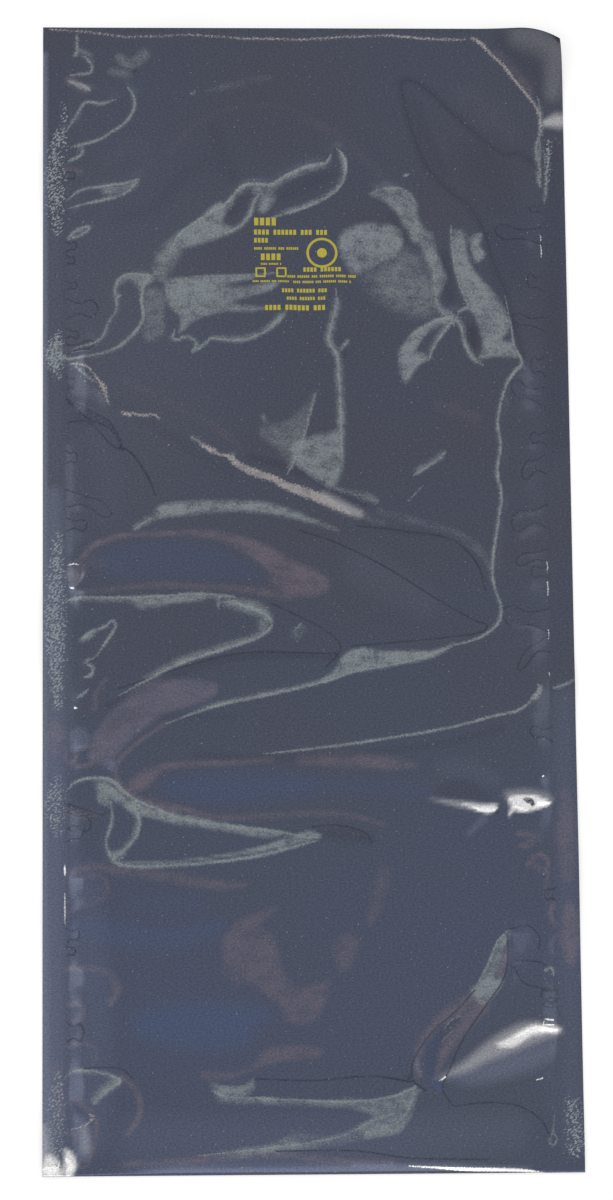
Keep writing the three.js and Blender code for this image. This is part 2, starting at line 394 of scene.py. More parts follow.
def patch(name, *outline, amount=1.0, soft=1.2, rise=0.0):
    """A tint of painted light or shade that fills an outline, with an edge as soft as asked."""
    places = [(x, y, 0) for x, y in outline + outline[:1]]
    distance, _, _, _, _ = measure(places, 3 * soft + 3)
    curve = laid(places)
    filled = np.zeros(X.shape, bool)
    for (x0, y0, _), (x1, y1, _) in zip(curve, curve[1:]):
        if y0 != y1:
            crossed = (y0 > Y) != (y1 > Y)
            filled ^= crossed & (X < x0 + (Y - y0) / (y1 - y0) * (x1 - x0))
    spread = smooth(-soft, soft, np.where(filled, distance, -distance))
    tint[name][:] = np.maximum(tint[name], amount * spread)
    ridges[:] = np.maximum(ridges, rise * spread)


def crease(places, left_haze=2.0, right_haze=2.0, amount=0.75, rise=0.6, kind="bright", reach=3.0):
    """A sharp painted line of highlight or shade, with, for bright lines, a painted sheen that fades
    to its left and its right, and a rise of the film.
    """
    distance, width, past, left, share = measure(places, max(left_haze, right_haze, 3 * reach))
    width = width - past
    layer = line[kind]
    score = distance - width
    closer = (score < layer["score"]) & (distance < line_catch)
    layer["score"][:] = np.where(closer, score, layer["score"])
    layer["side"][:] = np.where(closer, np.where(left, distance, -distance), layer["side"])
    kept_width = np.where(distance < line_reach + width, width, no_width)
    layer["width"][:] = np.where(closer, kept_width, layer["width"])
    side = np.where(left, left_haze, right_haze)
    fade = smooth(0, end_fade, share) * smooth(0, end_fade, 1 - share)
    spread = np.clip(1 - distance / np.maximum(side, 0.01), 0, 1) ** haze_falloff
    if kind in ("bright", "second"):
        tint["sheen"][:] = np.maximum(tint["sheen"], amount * spread * fade)
    raise_film(distance, rise, reach)


def swell(height, left_reach, right_reach, *places):
    """Raises a broad roll of film along a line, with its own reach on either side."""
    reach = max(left_reach, right_reach)
    distance, _, _, left, _ = measure([(x, y, 1) for x, y in places], 3 * reach)
    relief[:] += height * bell(distance, np.where(left, left_reach, right_reach))


def even(width, *places):
    """The same half width at every place of a line."""
    return [(x, y, width) for x, y in places]


def finger(seal, y, run, spread, lean=0.0, kind="dark", width=0.35, rise=0.5):
    """The outline of one pucker, a finger of film that swells out of a seal, drawn as painted shade."""
    inward = -1 if seal > 0 else 1
    shape = ((0, 1), (0.45, 0.55), (0.8, 0.85), (1, 0.1), (0.82, -0.75), (0.4, -0.4), (0, -0.9))
    places = [(seal + inward * run * out, y + spread * up + lean * out * out, width) for out, up in shape]
    crease(places, kind=kind, rise=rise, reach=4)


print("soft tints:", ", ".join(tint), "and lines:", ", ".join(line))

# %% [markdown]
# ## The broad swells
#
# These are the rolls that are seen from a step away. They are the solid model's, from the same
# places, so that the dressed pouch fills the solid's form.

# %% Swells
swell(3.0, 22, 10, (-126, 121), (-100, 102), (-60, 80), (-20, 60), (10, 48), (45, 33))
swell(3.0, 17, 18, (-116, 9), (-70, 15), (-20, 13), (30, 3), (86, -18))
swell(1.9, 11, 13, (-96, -31), (-60, -24), (-26, -17))
long_crease = [(113, 121), (103, 103), (101, 80), (101, 45), (97, 8), (100, -12), (90, -27), (60, -35),
               (22, -39), (0, -51), (-40, -60), (-74, -72)]
swell(2.5, 18, 10, *long_crease)
swell(2.1, 18, 10, (-25, -87), (20, -83), (70, -75), (104, -66), (122, -56))
swell(2.1, 10, 12, (-96, -91), (-60, -101), (0, -106), (56, -110))
swell(2.6, 13, 15, (-72, 183), (-45, 203), (-10, 217), (17, 229))
swell(2.5, 12, 16, (42, 211), (60, 192), (80, 166), (98, 138), (111, 124))
swell(1.6, 8, 8, (78, 144), (70, 136), (66, 122))
swell(1.6, 8, 8, (78, 144), (85, 138), (90, 122))
swell(1.8, 9, 10, (16, 166), (12, 138), (17, 110), (17, 78))
swell(1.6, 10, 12, (-74, 156), (-45, 158), (-16, 162))
swell(1.3, 8, 8, (-66, 134), (-40, 134), (-10, 148))
swell(2.8, 9, 9, (100, -183), (95, -200), (83, -214), (70, -229), (60, -243), (59, -254), (67, -267))
swell(2.3, 9, 10, (66, -112), (95, -116), (124, -114))
swell(2.6, 12, 10, (68, -255), (95, -242), (124, -231))
swell(1.9, 10, 11, (-54, -262), (0, -273), (48, -273))
swell(2.1, 11, 11, (-126, 262), (-94, 264))
swell(1.5, 7, 7, (-126, 209), (-90, 220))
swell(2.0, 8, 8, (-126, 127), (-110, 130), (-98, 139), (-94, 152), (-91, 166))
swell(1.8, 8, 8, (-125, 8), (-119, 8))
swell(1.6, 8, 8, (-124, -156), (-108, -157))
swell(1.5, 9, 9, (-122, -206), (-104, -206))
swell(2.0, 13, 13, (-122, -262), (-100, -268))
swell(1.5, 7, 7, (126, 191), (104, 193))
swell(1.6, 9, 9, (124, -22), (106, -20))
print("highest swell in mm:", round(float(relief.max()), 1))

# %% [markdown]
# ## The creases, area by area
#
# Each crease was placed from the photograph, on the flat panel, with its painted light and shade. The
# head comes first: the dark outline of the big shoulder in painted shade, the wavy ridge beside the
# print with its painted highlight, and the star of creases by the right seal.

# %% Creases of the head
shoulder_top = ((52, 277), (56, 279), (62, 277), (70, 270), (80, 259), (90, 249), (100, 240), (108, 235),
                (115, 236), (123, 230))
shoulder_side = ((52, 277), (55, 260), (58, 248), (66, 228), (80, 213), (87, 208), (96, 192), (100, 177),
                 (106, 160), (109, 145), (115, 124))
# The shoulder's outline is painted shade: a soft dark band with a thin dark line in it
for outline in (shoulder_top, shoulder_side):
    haze("shade", even(1.6, *outline), amount=0.5)
    crease(even(0.15, *outline), kind="dark", rise=-0.4)
# Faint painted shade and brownish painted reflections of the room over the head
haze("shade", [(60, 264, 3), (66, 242, 3), (76, 224, 2)], amount=0.3)
haze("shade", [(95, 232, 12), (106, 205, 10), (112, 170, 8)], amount=0.3)
haze("warm_reflection", [(86, 272, 7), (100, 258, 8), (112, 246, 5)], amount=0.2)
haze("warm_reflection", [(0, 256, 3), (18, 246, 3), (32, 233, 3), (44, 219, 2)], amount=0.22)
haze("warm_reflection", [(-72, 236, 2), (-58, 252, 2), (-36, 262, 2), (-8, 262, 2), (14, 250, 2)], amount=0.2)
haze("shade", [(-48, 250, 3), (-44, 235, 4), (-38, 222, 3)], amount=0.3)
haze("shade", [(-100, 200, 3), (-80, 205, 3), (-66, 222, 3), (-50, 232, 2)], amount=0.25)
haze("warm_reflection", [(-104, 232, 4), (-90, 240, 5), (-84, 228, 5), (-92, 222, 3)], amount=0.22)
haze("shade", [(100, 232, 1), (97, 240, 0.8)], amount=0.5)
# A thin painted highlight along the lip of the mouth
crease([(-136, 304, 0.05), (-60, 304.4, 0.1), (-20, 304.2, 0.3), (30, 304.2, 0.2), (60, 304.2, 0.35),
        (88, 304, 0.2)], kind="pale", rise=0)

# The wavy ridge by the print is two lobes, each a painted highlight round a middle in painted shade
crease([(-75, 178, 0.1), (-70, 184, 0.4), (-66, 191, 0.5), (-55, 199, 0.7), (-42, 207, 0.8),
        (-38, 212, 0.5), (-32, 217.5, 0.7), (-24, 218, 0.8), (-18, 217.5, 0.7), (-11, 222, 0.8),
        (-3, 226, 0.8), (5, 228.5, 0.8), (12, 230, 0.7), (14.5, 235, 0.3)], left_haze=2, right_haze=5,
       amount=0.95, rise=0.7)
crease([(-67, 186, 0.2), (-62, 190, 0.3), (-48, 190, 0.4), (-36, 194, 0.5), (-29.5, 201, 0.5),
        (-27, 208, 0.5), (-24, 213, 0.3)], left_haze=3, right_haze=2.5, amount=0.9, rise=0.7, kind="second")
crease([(-19, 199.5, 0.3), (-10, 202, 0.5), (0, 205.5, 0.6), (8, 209, 0.6), (16, 214, 0.7),
        (20.5, 220, 0.8), (22, 227, 0.8), (21, 233, 0.7), (17.5, 238, 0.3)], left_haze=4,
       right_haze=1.5, amount=0.9, rise=0.7, kind="second")
haze("sheen", [(-78, 172, 3), (-72, 181, 4), (-64, 189, 3)], amount=0.8)
patch("sheen", (-70, 182), (-64, 191), (-53, 202), (-45, 208), (-42, 203), (-44, 197), (-38, 193),
      (-48, 188), (-60, 184), amount=0.85, soft=2)
haze("sheen", [(-25, 215, 2.5), (-20, 212, 3.5), (-22, 205, 2)], amount=0.85)
haze("shade", [(-40, 201, 1.5), (-36, 206, 2.5), (-33, 211, 1.5)], amount=0.4)
haze("shade", [(-12, 211, 2), (-3, 216, 3), (7, 220, 3), (14, 223, 2)], amount=0.35)

# The shoulder beside the print: a bright hook, a band down to the star and two large patches, all
# painted highlight, with painted shade between them
crease([(34, 212, 0.2), (40, 215, 0.3), (49, 216, 0.3), (56, 213, 0.3), (60, 206, 0.2)], rise=0.7,
       right_haze=3)
patch("sheen", (35, 212), (40, 215), (49, 216), (56, 213), (60, 206), (60, 200), (64, 193), (67, 186),
      (58, 186), (53, 195), (48, 204), (41, 210), amount=0.85, soft=2)
patch("sheen", (58, 194), (62, 182), (66, 172), (67, 164), (68, 153), (72, 147), (78, 143), (80, 145),
      (73, 150), (71, 157), (75, 166), (72, 175), (69, 185), (67, 192), amount=0.8, soft=2)
crease([(64, 190, 0.2), (68, 174, 0.2), (69, 158, 0.3), (72, 148, 0.3), (78, 144, 0.5)], rise=0.7)
patch("sheen", (19, 192), (18, 185), (21, 176), (26, 170), (33, 172), (40, 175), (48, 179), (52, 186),
      (50, 193), (43, 196), (32, 197), (24, 195), amount=0.88, soft=2.5)
patch("sheen", (27, 171), (40, 174), (54, 182), (66, 169), (68, 149), (55, 146), (39, 156), amount=0.55,
      soft=8)
haze("shade", [(36, 186, 1.2), (39, 183, 1.8), (43, 178, 0.8)], amount=0.8)
haze("shade", [(46, 200, 2), (55, 188, 2)], amount=0.35)
haze("shade", [(74, 178, 3), (75, 164, 3), (76, 156, 3)], amount=0.6)
crease([(78, 196, 0.2), (78, 188, 0.4), (79, 176, 0.4), (82, 162, 0.4), (87, 150, 0.3)], rise=0.6,
       left_haze=3)
patch("sheen", (79, 193), (78, 182), (80, 169), (83, 158), (89, 148), (92, 138), (94, 129), (92, 123),
      (101, 124), (112, 123), (110, 130), (104, 133), (108, 139), (108, 145), (102, 156), (95, 165),
      (89, 172), (86, 182), (85, 193), amount=0.88, soft=2)
patch("sheen", (87, 191), (94, 192), (94, 188), (92, 185), (95, 179), (91, 176), (89, 180), amount=0.8,
      soft=1.2)
crease(even(0.2, (94, 192), (91.5, 186), (95, 180), (91, 175)), rise=0.3, kind="second")
haze("shade", [(88, 138, 2.5), (89, 131, 2.5)], amount=0.9)
haze("shade", [(100, 140, 1), (103, 134, 1.2)], amount=0.5)
haze("shade", [(101, 172, 4), (106, 160, 3)], amount=0.4)
crease(even(0.5, (53, 223), (56, 224.5)), rise=0.1)
crease(even(0.25, (-60.5, 269.5), (-57.5, 271)), rise=0.1)
haze("sheen", [(-52, 272, 1), (-35, 277, 3), (-18, 281, 2)], amount=0.2)
print("sheen so far:", round(float(tint["sheen"].mean()), 3))

# %% Creases round the print and the star
# Painted highlights round the print and the star, with painted shade in the creases between them and a
# faint brownish painted reflection
patch("sheen", (-75, 165), (-68, 167), (-47, 168), (-26, 169), (-30, 166), (-44, 163), (-33, 162),
      (-15, 165), (-19, 160), (-33, 156), (-40, 154), (-33, 152), (-22, 151), (-25, 149), (-40, 149),
      (-51, 147), (-60, 143), (-67, 137), (-66, 145), (-71, 150), (-74, 156), amount=0.88, soft=1.8)
patch("sheen", (-100, 162), (-97, 168), (-93, 169.5), (-78, 169), (-81, 165), (-85, 162), (-87, 156),
      (-89, 162), (-93, 165), (-97, 164), amount=0.8, soft=1.5)
patch("sheen", (-86, 158), (-82, 162), (-75, 158), (-75, 147), (-76, 136), (-84, 133), (-86, 140),
      amount=0.5, soft=3)
haze("sheen", [(-76, 168, 2.5), (-72, 176, 3), (-67, 184, 3)], amount=0.6)
crease(even(0.2, (-60, 168), (-36, 168.5), (-14, 170)), rise=0.2, left_haze=1)
crease(even(0.4, (-69, 139), (-71, 134), (-67, 133.5), (-64, 135), (-58, 132), (-61, 126)), rise=0.5)
crease(even(0.4, (-61, 126), (-55, 130), (-50, 134), (-46, 134)), rise=0.4)
crease([(-50, 134, 0.4), (-38, 133, 0.6), (-27, 135, 0.6), (-16, 142, 0.5), (-9, 151, 0.3)], left_haze=4,
       right_haze=2.5, amount=0.9, rise=0.6)
crease([(78, 144, 0.4), (70, 144, 0.6), (60, 139, 0.5), (54, 134, 0.4)], left_haze=6, amount=0.9, rise=0.5)
crease([(78, 143, 0.4), (72, 136, 0.6), (67, 128, 0.6), (65, 122, 0.3)], right_haze=4, amount=0.8, rise=0.5)
patch("sheen", (74, 143), (65, 142), (57, 138), (53, 133), (49, 126), (50, 116), (53, 110), (57, 116),
      (60, 120), (66, 123), (63, 126), (58, 127), (61, 133), (67, 140), amount=0.92, soft=1.8)
crease([(78, 144, 0.4), (82, 140, 0.5), (84, 131, 0.6), (88, 123, 0.5), (94, 119, 0.3)], left_haze=3,
       right_haze=2, amount=0.9, rise=0.6)
crease(even(0.4, (80, 147), (85, 150), (89, 148)), rise=0.4)
crease([(16, 161, 0.3), (16.3, 152, 0.6), (13.2, 140, 0.6), (12.2, 132, 0.6), (16.5, 124, 0.7),
        (17.3, 111, 0.6), (18, 98, 0.6), (18, 85, 0.6), (18.6, 67, 0.4)], right_haze=4, left_haze=4,
       amount=0.9, rise=0.6)
crease(even(0.3, (23, 134), (18, 127)), right_haze=3, rise=0.3, kind="second")
haze("shade", [(19, 132, 1), (20, 124, 1)], amount=0.5)
crease(even(0.3, (5, 105), (2, 94), (-1, 83), (-6, 69), (-11, 60)), right_haze=4, left_haze=1, rise=0.5)
patch("sheen", (5, 106), (3, 97), (0, 86), (-3, 75), (-7, 65), (-12, 68), (-17, 75), (-25, 82), (-23, 88),
      (-13, 89), (-4, 95), amount=0.42, soft=3)
haze("sheen", [(-23, 92, 1), (-21, 86, 1.5)], amount=0.5)
patch("sheen", (-9, 78), (1, 81), (12, 83), (18, 84), (19, 70), (18, 62), (13, 53), (6, 57), (-4, 64),
      (-10, 71), amount=0.8, soft=2.5)
crease(even(0.3, (73, 74), (71, 70), (62, 64), (56, 60)), right_haze=5, amount=0.7, rise=0.3)
haze("warm_reflection", [(70, 98, 3), (80, 95, 4), (90, 91, 3)], amount=0.25)
crease(even(0.15, (52, 45), (61, 55)), left_haze=0.5, right_haze=0.5, amount=0.2, rise=0.0)
print("highest crease so far in mm:", round(float(ridges.max()), 2))

# %% [markdown]
# The right side has the longest crease of all. It comes down from the star, turns under the belly
# and runs out across the panel, and where it turns it spreads into a broad patch of painted highlight.

# %% The long crease of the right side
crease([(106, 158, 0.2), (109, 140, 0.4), (110, 130, 0.5), (114, 120, 0.6), (111, 116, 0.5),
        (106, 109, 0.5), (103, 100, 0.5), (101, 90, 0.5), (101, 84, 0.6), (102, 75, 0.7),
        (100, 62, 0.6), (102, 50, 0.7), (101, 40, 0.6), (99, 28, 0.6), (97, 15, 0.5), (96.5, 6, 0.5),
        (98, -2, 0.6), (100.5, -10, 0.6), (100.5, -16, 0.6), (98, -21, 0.6), (92, -26, 0.6),
        (85, -29, 0.5), (76, -31, 0.4)], left_haze=1.5, right_haze=2.5, amount=0.7, rise=0.9)
crease([(76, -31, 0.4), (66, -35, 0.5), (50, -40, 0.4), (34, -43, 0.4), (22, -45, 0.6), (8, -50, 0.6),
        (-20, -56.5, 0.8), (-50, -63, 0.6), (-75, -72, 0.2)], left_haze=1.5, right_haze=3, amount=0.9,
       rise=0.8)
patch("sheen", (5, -50), (14, -43), (18, -36), (27, -32), (38, -34), (52, -34), (66, -34), (76, -30),
      (70, -35), (59, -39), (47, -41), (34, -44), (21, -45), (12, -49), amount=0.95, soft=1.5)
# A broad pale line of painted highlight, with a faint painted gleam, painted shade and brownish painted
# reflections near it
crease([(-56, 76, 0.3), (-50, 73, 1.4), (-46, 71, 0.4), (-41, 69.5, 1.2), (-36, 65, 1.5), (-26, 60.5, 1.9),
        (-18, 58, 1.6), (-12, 54.5, 1.9), (-4, 51.5, 2.4), (4, 48.5, 2.4), (12, 44.5, 1.9), (19, 41, 1.1),
        (24, 38, 0.1)], kind="pale", rise=0.9)
crease(even(0.3, (-62, 81), (-56, 77), (-50, 73)), kind="second", rise=0.5, left_haze=2.5, amount=0.6)
crease(even(0.2, (-40, 72), (-38, 69)), kind="second", rise=0.3)
haze("gleam", [(8, 48, 2), (18, 43, 2), (27, 39, 1.5)], amount=0.3)
haze("shade", [(-30, 70, 1.5), (0, 60, 1.5), (30, 44, 1.5)], amount=0.6)
haze("sheen", [(26, 40, 1.5), (34, 36, 2), (40, 34, 1)], amount=0.3)
haze("sheen", [(14, 53, 0.8), (24, 50, 1.2), (32, 48, 2), (36, 46, 1)], amount=0.55)
haze("sheen", [(38, 40, 2), (56, 35, 2), (76, 30, 2), (90, 20, 2), (96, 8, 1)], amount=0.25)
crease([(-124, 120.5, 0.1), (-116, 118.5, 0.25), (-112, 114, 0.3), (-109, 110, 0.6), (-107.5, 108, 1.2),
        (-106, 104, 0.8), (-104.5, 98, 0.1)], kind="pale", rise=0.4)
crease(even(0.2, (-122, 119), (-115, 112.5), (-110, 109.5)), rise=0.2, left_haze=1, right_haze=1)
haze("shade", [(-121, 107, 4), (-119, 98, 5), (-120, 88, 4)], amount=0.55)
crease([(-98, 94, 0.3), (-94, 92.5, 0.7), (-91, 93, 0.3), (-87, 92, 0.5), (-81, 92.5, 0.3),
        (-78, 90.5, 0.7)], kind="pale", rise=0.3)
haze("warm_reflection", [(-98, 112, 1.5), (-70, 98, 2), (-46, 84, 2), (-34, 74, 1)], amount=0.25)
haze("shade", [(-100, 98, 2), (-70, 80, 2), (-40, 60, 2)], amount=0.25)
crease(even(0.45, (-5, 31), (15, 24), (35, 14), (50, 5), (65, -5), (85, -17), (93, -21), (88, -25),
            (60, -28), (22, -31)), kind="dark", rise=-0.3)
crease(even(0.4, (25, 33), (50, 30), (75, 26), (88, 14), (93, -2)), kind="dark", rise=-0.2)
haze("shade", [(28, 35, 1.5), (50, 29, 1), (70, 28, 1.5)], amount=0.25)
crease(even(0.5, (-127, 101), (-115, 91), (-108, 88), (-101, 83), (-98, 76), (-92, 72), (-84, 60),
            (-80, 50)), kind="dark", rise=-0.4)

print("deepest furrow so far in mm:", round(float(furrows.min()), 2))

# %% The belly
# The belly's bright band is painted highlight, its brownish and bluish fields are painted reflections of
# the room, and its dark lines are painted shade
crease([(-92, 30, 0.2), (-86, 35, 0.4), (-82, 38, 0.3)], left_haze=4, amount=0.8, rise=0.4)
patch("sheen", (-85, 34), (-81, 39), (-78, 44), (-67, 46), (-50, 46.5), (-35, 46.5), (-22, 45.5),
      (-10, 42), (3, 36.5), (16, 30.5), (5, 34), (-10, 38), (-24, 40.5), (-41, 41.5), (-59, 40),
      (-72, 38.5), (-80, 37), amount=1.0, soft=2.4, rise=0.6)
haze("warm_reflection", [(-118, 16, 1), (-115, 21, 1.2), (-105, 26, 1.2), (-92, 28.5, 1), (-70, 29, 1)],
     amount=0.9, rise=0.4)
patch("warm_reflection", (-74, 29), (-62, 30.5), (-48, 30), (-38, 28), (-28, 25), (-18, 20), (-8, 14), (2, 10),
      (10, 5), (10, -2), (0, -5), (-10, -4), (-17, 0), (-20, 4), (-22, 9), (-27, 14), (-35, 19),
      (-44, 24), (-52, 26.5), (-62, 27.5), amount=0.85, soft=2.5)
haze("warm_reflection", [(-120, -2, 0.7), (-100, -0.5, 1), (-80, 1.5, 1.5), (-60, 0.5, 1.5), (-40, -0.5, 1.5),
              (-10, -4, 2)], amount=0.55)
haze("warm_reflection", [(-112, 14, 4), (-100, 10, 3)], amount=0.25)
patch("blue_reflection", (-111, 17), (-93, 24), (-72, 25), (-48, 21), (-30, 12), (-24, 5), (-48, 4), (-83, 4),
      (-104, 6), amount=0.42, soft=6)
haze("rim", [(30, 10, 10), (60, -8, 8)], amount=0.06)
crease([(-128, -8, 0.4), (-122, -5, 0.4), (-100, -5, 0.4), (-80, -4.5, 0.5), (-60, -3, 0.6), (-44, -4, 0.5),
        (-38, -5, 0.5)], left_haze=1, right_haze=4, amount=0.85, rise=0.5)
haze("sheen", [(-92, -6, 1.5), (-85, -7.5, 2.6), (-72, -6, 1.6), (-56, -5, 1.4)], amount=0.85)
crease(even(0.4, (-48, -4), (-47, -11)), rise=0.2)
crease([(-45, -7, 0.3), (-36, -9, 0.8), (-27, -12, 0.9), (-21, -16, 0.8), (-20, -21, 0.6), (-26, -26, 0.6),
        (-40, -31, 0.7), (-65, -39, 0.6), (-80, -46, 0.5), (-100, -57, 0.2)], right_haze=5, amount=0.85,
       rise=0.6)
haze("sheen", [(-42, -8, 2), (-29, -11, 3), (-23, -16, 3), (-24, -22, 2.4)], amount=0.75)
haze("sheen", [(-7, -24, 2.5), (-4, -22, 2)], amount=0.45)
haze("shade", [(-105, -62, 1.5), (-60, -42, 1.5), (-30, -36, 1.5), (15, -37, 1)], amount=0.45)
crease(even(0.4, (-20, -8), (5, -20), (15, -28), (16, -34), (8, -43)), kind="dark", rise=-0.3)
crease(even(0.4, (-100, -53), (-60, -40), (-30, -34), (15, -35)), kind="dark", rise=-0.3)
crease([(-119, -27, 0.5), (-114, -23, 0.6), (-106, -20, 0.5), (-103, -17, 0.5), (-101, -20, 0.5),
        (-105, -27, 0.5), (-111, -36, 0.4)], rise=0.4)
haze("sheen", [(-118, -27, 1.2), (-113, -24, 1.2)], amount=0.7)
crease(even(0.4, (-113, -37), (-117, -39), (-113, -42), (-114, -46), (-118, -47)), rise=0.3)
crease(even(0.4, (-7, -22), (-4, -19)), left_haze=1.5, rise=0.1)
print("warm so far:", round(float(tint["warm_reflection"].mean()), 3))

# %% [markdown]
# Below the belly the film runs in flat tongues towards the left seal. The brightest, a painted
# highlight, is shaped like a fish. The wide field under it is the calmest part of the pouch, and
# carries painted reflections of a bluish and brown room, with painted shade in its creases.

# %% The lower panel
wedge = ((-115, -88), (-113, -78), (-108, -70), (-100, -61), (-90, -53), (-82, -49), (-66, -48), (-50, -50),
         (-48, -55), (-55, -60), (-68, -64), (-80, -69), (-90, -77), (-97, -84), (-103, -91), (-109, -93))
patch("warm_reflection", *wedge, amount=0.65, soft=2.5)
patch("rim", *wedge, amount=0.1, soft=2.5)
haze("shade", [(-104, -74, 3), (-94, -67, 3.5), (-88, -68, 2)], amount=0.35)
haze("warm_reflection", even(0.8, (-112, -64), (-111, -55), (-106, -48)), amount=0.7)
haze("shade", [(-88, -66, 1), (-60, -68, 1.5), (-40, -68, 1)], amount=0.3)
crease([(-25, -88, 0.2), (-5, -86, 0.5), (20, -83, 0.6), (50, -78.5, 0.6), (75, -74, 0.6), (98, -68, 0.6),
        (108, -66, 0.6), (114, -62, 0.5), (117, -58, 0.6), (120, -54, 0.5)], left_haze=1.5, right_haze=1.5,
       amount=0.5, rise=0.8)
crease(even(0.4, (117, -60), (120, -57), (121, -53), (119, -52)), rise=0.3)
crease(even(0.4, (127, -53.5), (133, -52), (139, -49)), rise=0.2)
haze("shade", [(-60, -88, 1.5), (-20, -90, 1.5), (60, -84, 1.5), (100, -75, 1.5)], amount=0.35)
haze("warm_reflection", [(-5, -91, 2), (20, -91, 3.4), (42, -93, 3), (54, -94, 1.5)], amount=0.7)
haze("warm_reflection", even(0.7, (-75, -72), (-90, -82), (-99, -91), (-101, -99), (-95, -107), (-84, -113),
                  (-70, -117)), amount=0.9, rise=0.4)
haze("warm_reflection", [(-92, -105, 3), (-85, -100, 3.5), (-78, -95.5, 1.8), (-72, -94, 1.8), (-60, -93, 1.2),
              (-20, -91, 1)], amount=0.8)
patch("blue_reflection", (-80, -103), (-69, -98), (-42, -96), (-14, -97), (5, -100), (5, -110), (-25, -114),
      (-49, -115), (-73, -111), amount=0.7, soft=7)
haze("blue_reflection", [(10, -105, 5), (60, -108, 4)], amount=0.5)
haze("warm_reflection", [(-84, -112, 1), (-60, -118, 1.2), (-45, -121, 1.5), (0, -119, 1.2), (20, -120, 1),
              (38, -125, 0.6)], amount=0.7)
crease([(-126, -106, 0.3), (-122, -102, 0.5), (-114, -100, 0.6), (-104, -101, 0.9), (-97, -107, 0.9),
        (-90, -112, 0.6), (-80, -116, 0.5), (-68, -121, 0.7), (-45, -125, 0.8), (-20, -128, 0.8),
        (0, -132, 0.5)], rise=0.7)
crease([(4, -133, 0.3), (-12, -137, 0.8), (-28, -141, 0.7), (-50, -144, 0.6), (-75, -146, 0.6),
        (-95, -146, 0.7), (-103, -143, 0.8)], rise=0.7)
patch("sheen", (-113, -100), (-108, -101), (-101, -106), (-94, -111), (-83, -116), (-68, -119),
      (-49, -123), (-25, -128), (-15, -130), (-25, -131), (-49, -127), (-70, -124), (-85, -120),
      (-93, -118), (-99, -113), (-105, -114), (-110, -113), (-111, -107), amount=0.9, soft=1.6)
patch("sheen", (-102, -144), (-76, -143.5), (-49, -140.5), (-27, -136), (-11, -131), (-2, -128), (6, -131),
      (-8, -135), (-25, -138.5), (-49, -142), (-77, -145), (-100, -145.5), amount=0.85, soft=1)
haze("sheen", [(-102, -141, 2.4), (-98, -139, 1.6)], amount=0.8)
crease([(-104, -112, 0.3), (-103, -122, 0.4), (-106, -133, 0.5), (-104, -141, 0.6), (-100, -144, 0.5)],
       rise=0.5)
crease([(-92, -113, 0.4), (-89, -122, 0.8), (-91, -131, 0.6), (-98, -139, 0.5), (-102, -142, 0.4)],
       right_haze=4, amount=0.85, rise=0.4)
crease(even(0.4, (-127, -113), (-118, -116), (-108, -119), (-103, -116)), kind="dark", rise=-0.2)
haze("shade", [(6, -129, 2), (18, -130, 3.5), (30, -132, 2.5)], amount=0.5)
crease(even(0.4, (0, -126), (14, -125), (28, -129), (32, -135)), kind="dark", rise=-0.3)
haze("warm_reflection", [(-125, -150, 1.5), (-112, -146, 1.5), (-95, -149, 2), (-70, -152, 2.5), (-48, -156, 2),
              (-34, -156, 1)], amount=0.6)
haze("blue_reflection", [(-118, -178, 8), (-77, -184, 9), (-49, -178, 6)], amount=0.7)
haze("blue_reflection", [(-90, -166, 7), (-60, -166, 8)], amount=0.5)
patch("blue_reflection", (-95, -221), (-73, -215), (-49, -214), (-26, -218), (-18, -224), (-26, -231), (-34, -241),
      (-56, -244), (-80, -240), (-94, -233), amount=0.9, soft=11)
haze("blue_reflection", [(-112, -200, 10), (-108, -232, 8)], amount=0.5)
haze("blue_reflection", [(55, -135, 16), (90, -150, 18), (60, -190, 18)], amount=0.25)
patch("warm_reflection", (-47, -185), (-40, -176), (-32, -172), (-18, -168), (-25, -177), (-19, -185), (-15, -200),
      (-8, -209), (4, -207), (9, -206), (4, -222), (-3, -228), (-13, -226), (-17, -218), (-26, -211),
      (-37, -204), (-45, -197), amount=0.62, soft=3)
patch("warm_reflection", (10, -186), (18, -182), (24, -186), (22, -194), (17, -201), (13, -197), amount=0.62, soft=3)
patch("warm_reflection", (-58, -252), (-50, -252), (-36, -251), (-26, -243), (-19, -239), (3, -240), (3, -245),
      (-16, -247), (-29, -251), (-43, -256), (-57, -257), amount=0.6, soft=2)
haze("warm_reflection", [(30, -175, 2), (34, -165, 3), (38, -150, 3)], amount=0.5)
haze("warm_reflection", [(-44, -200, 3), (-38, -206, 3)], amount=0.4)
print("blue so far:", round(float(tint["blue_reflection"].mean()), 3))

# %% The lower right corner and the foot
# White gleams and glints here are painted highlights on the corner's creases, with painted shade and paler
# painted reflections round them; the foot's bright line is a painted glint
patch("gleam", (77, -114), (88, -115), (96, -115), (97, -116), (94, -119), (90, -119), (84, -117),
      amount=1.0, soft=0.9, rise=0.5)
patch("gleam", (62, -112), (77, -113), (91, -115), (91, -117.5), (81, -117), amount=0.3, soft=1.4)
crease([(84, -116.5, 0.1), (90, -118, 0.9), (95, -118, 0.7), (97, -116.5, 0.2)], kind="glint", rise=0.4)
patch("gleam", (102, -111), (109, -110), (116, -110), (122, -112), (125, -114), (122, -116), (116, -118),
      (109, -119), (106, -118), (103, -121), (104, -116), amount=1.0, soft=0.9, rise=0.6)
patch("gleam", (101, -108), (112, -107), (122, -109), (125, -113), (104, -113), amount=0.22, soft=2.5)
crease([(105, -116, 0.4), (109, -117, 0.7), (113, -118, 0.5)], kind="glint", rise=0.2)
crease([(118, -114.5, 0.7), (121, -114.5, 0.9), (124, -114, 0.4)], kind="glint", rise=0.2)
crease([(110.5, -112, 0.6), (113.5, -113, 1.8), (115.5, -114.8, 1.3), (114.5, -116, 0.5)], kind="dark",
       rise=-0.2)
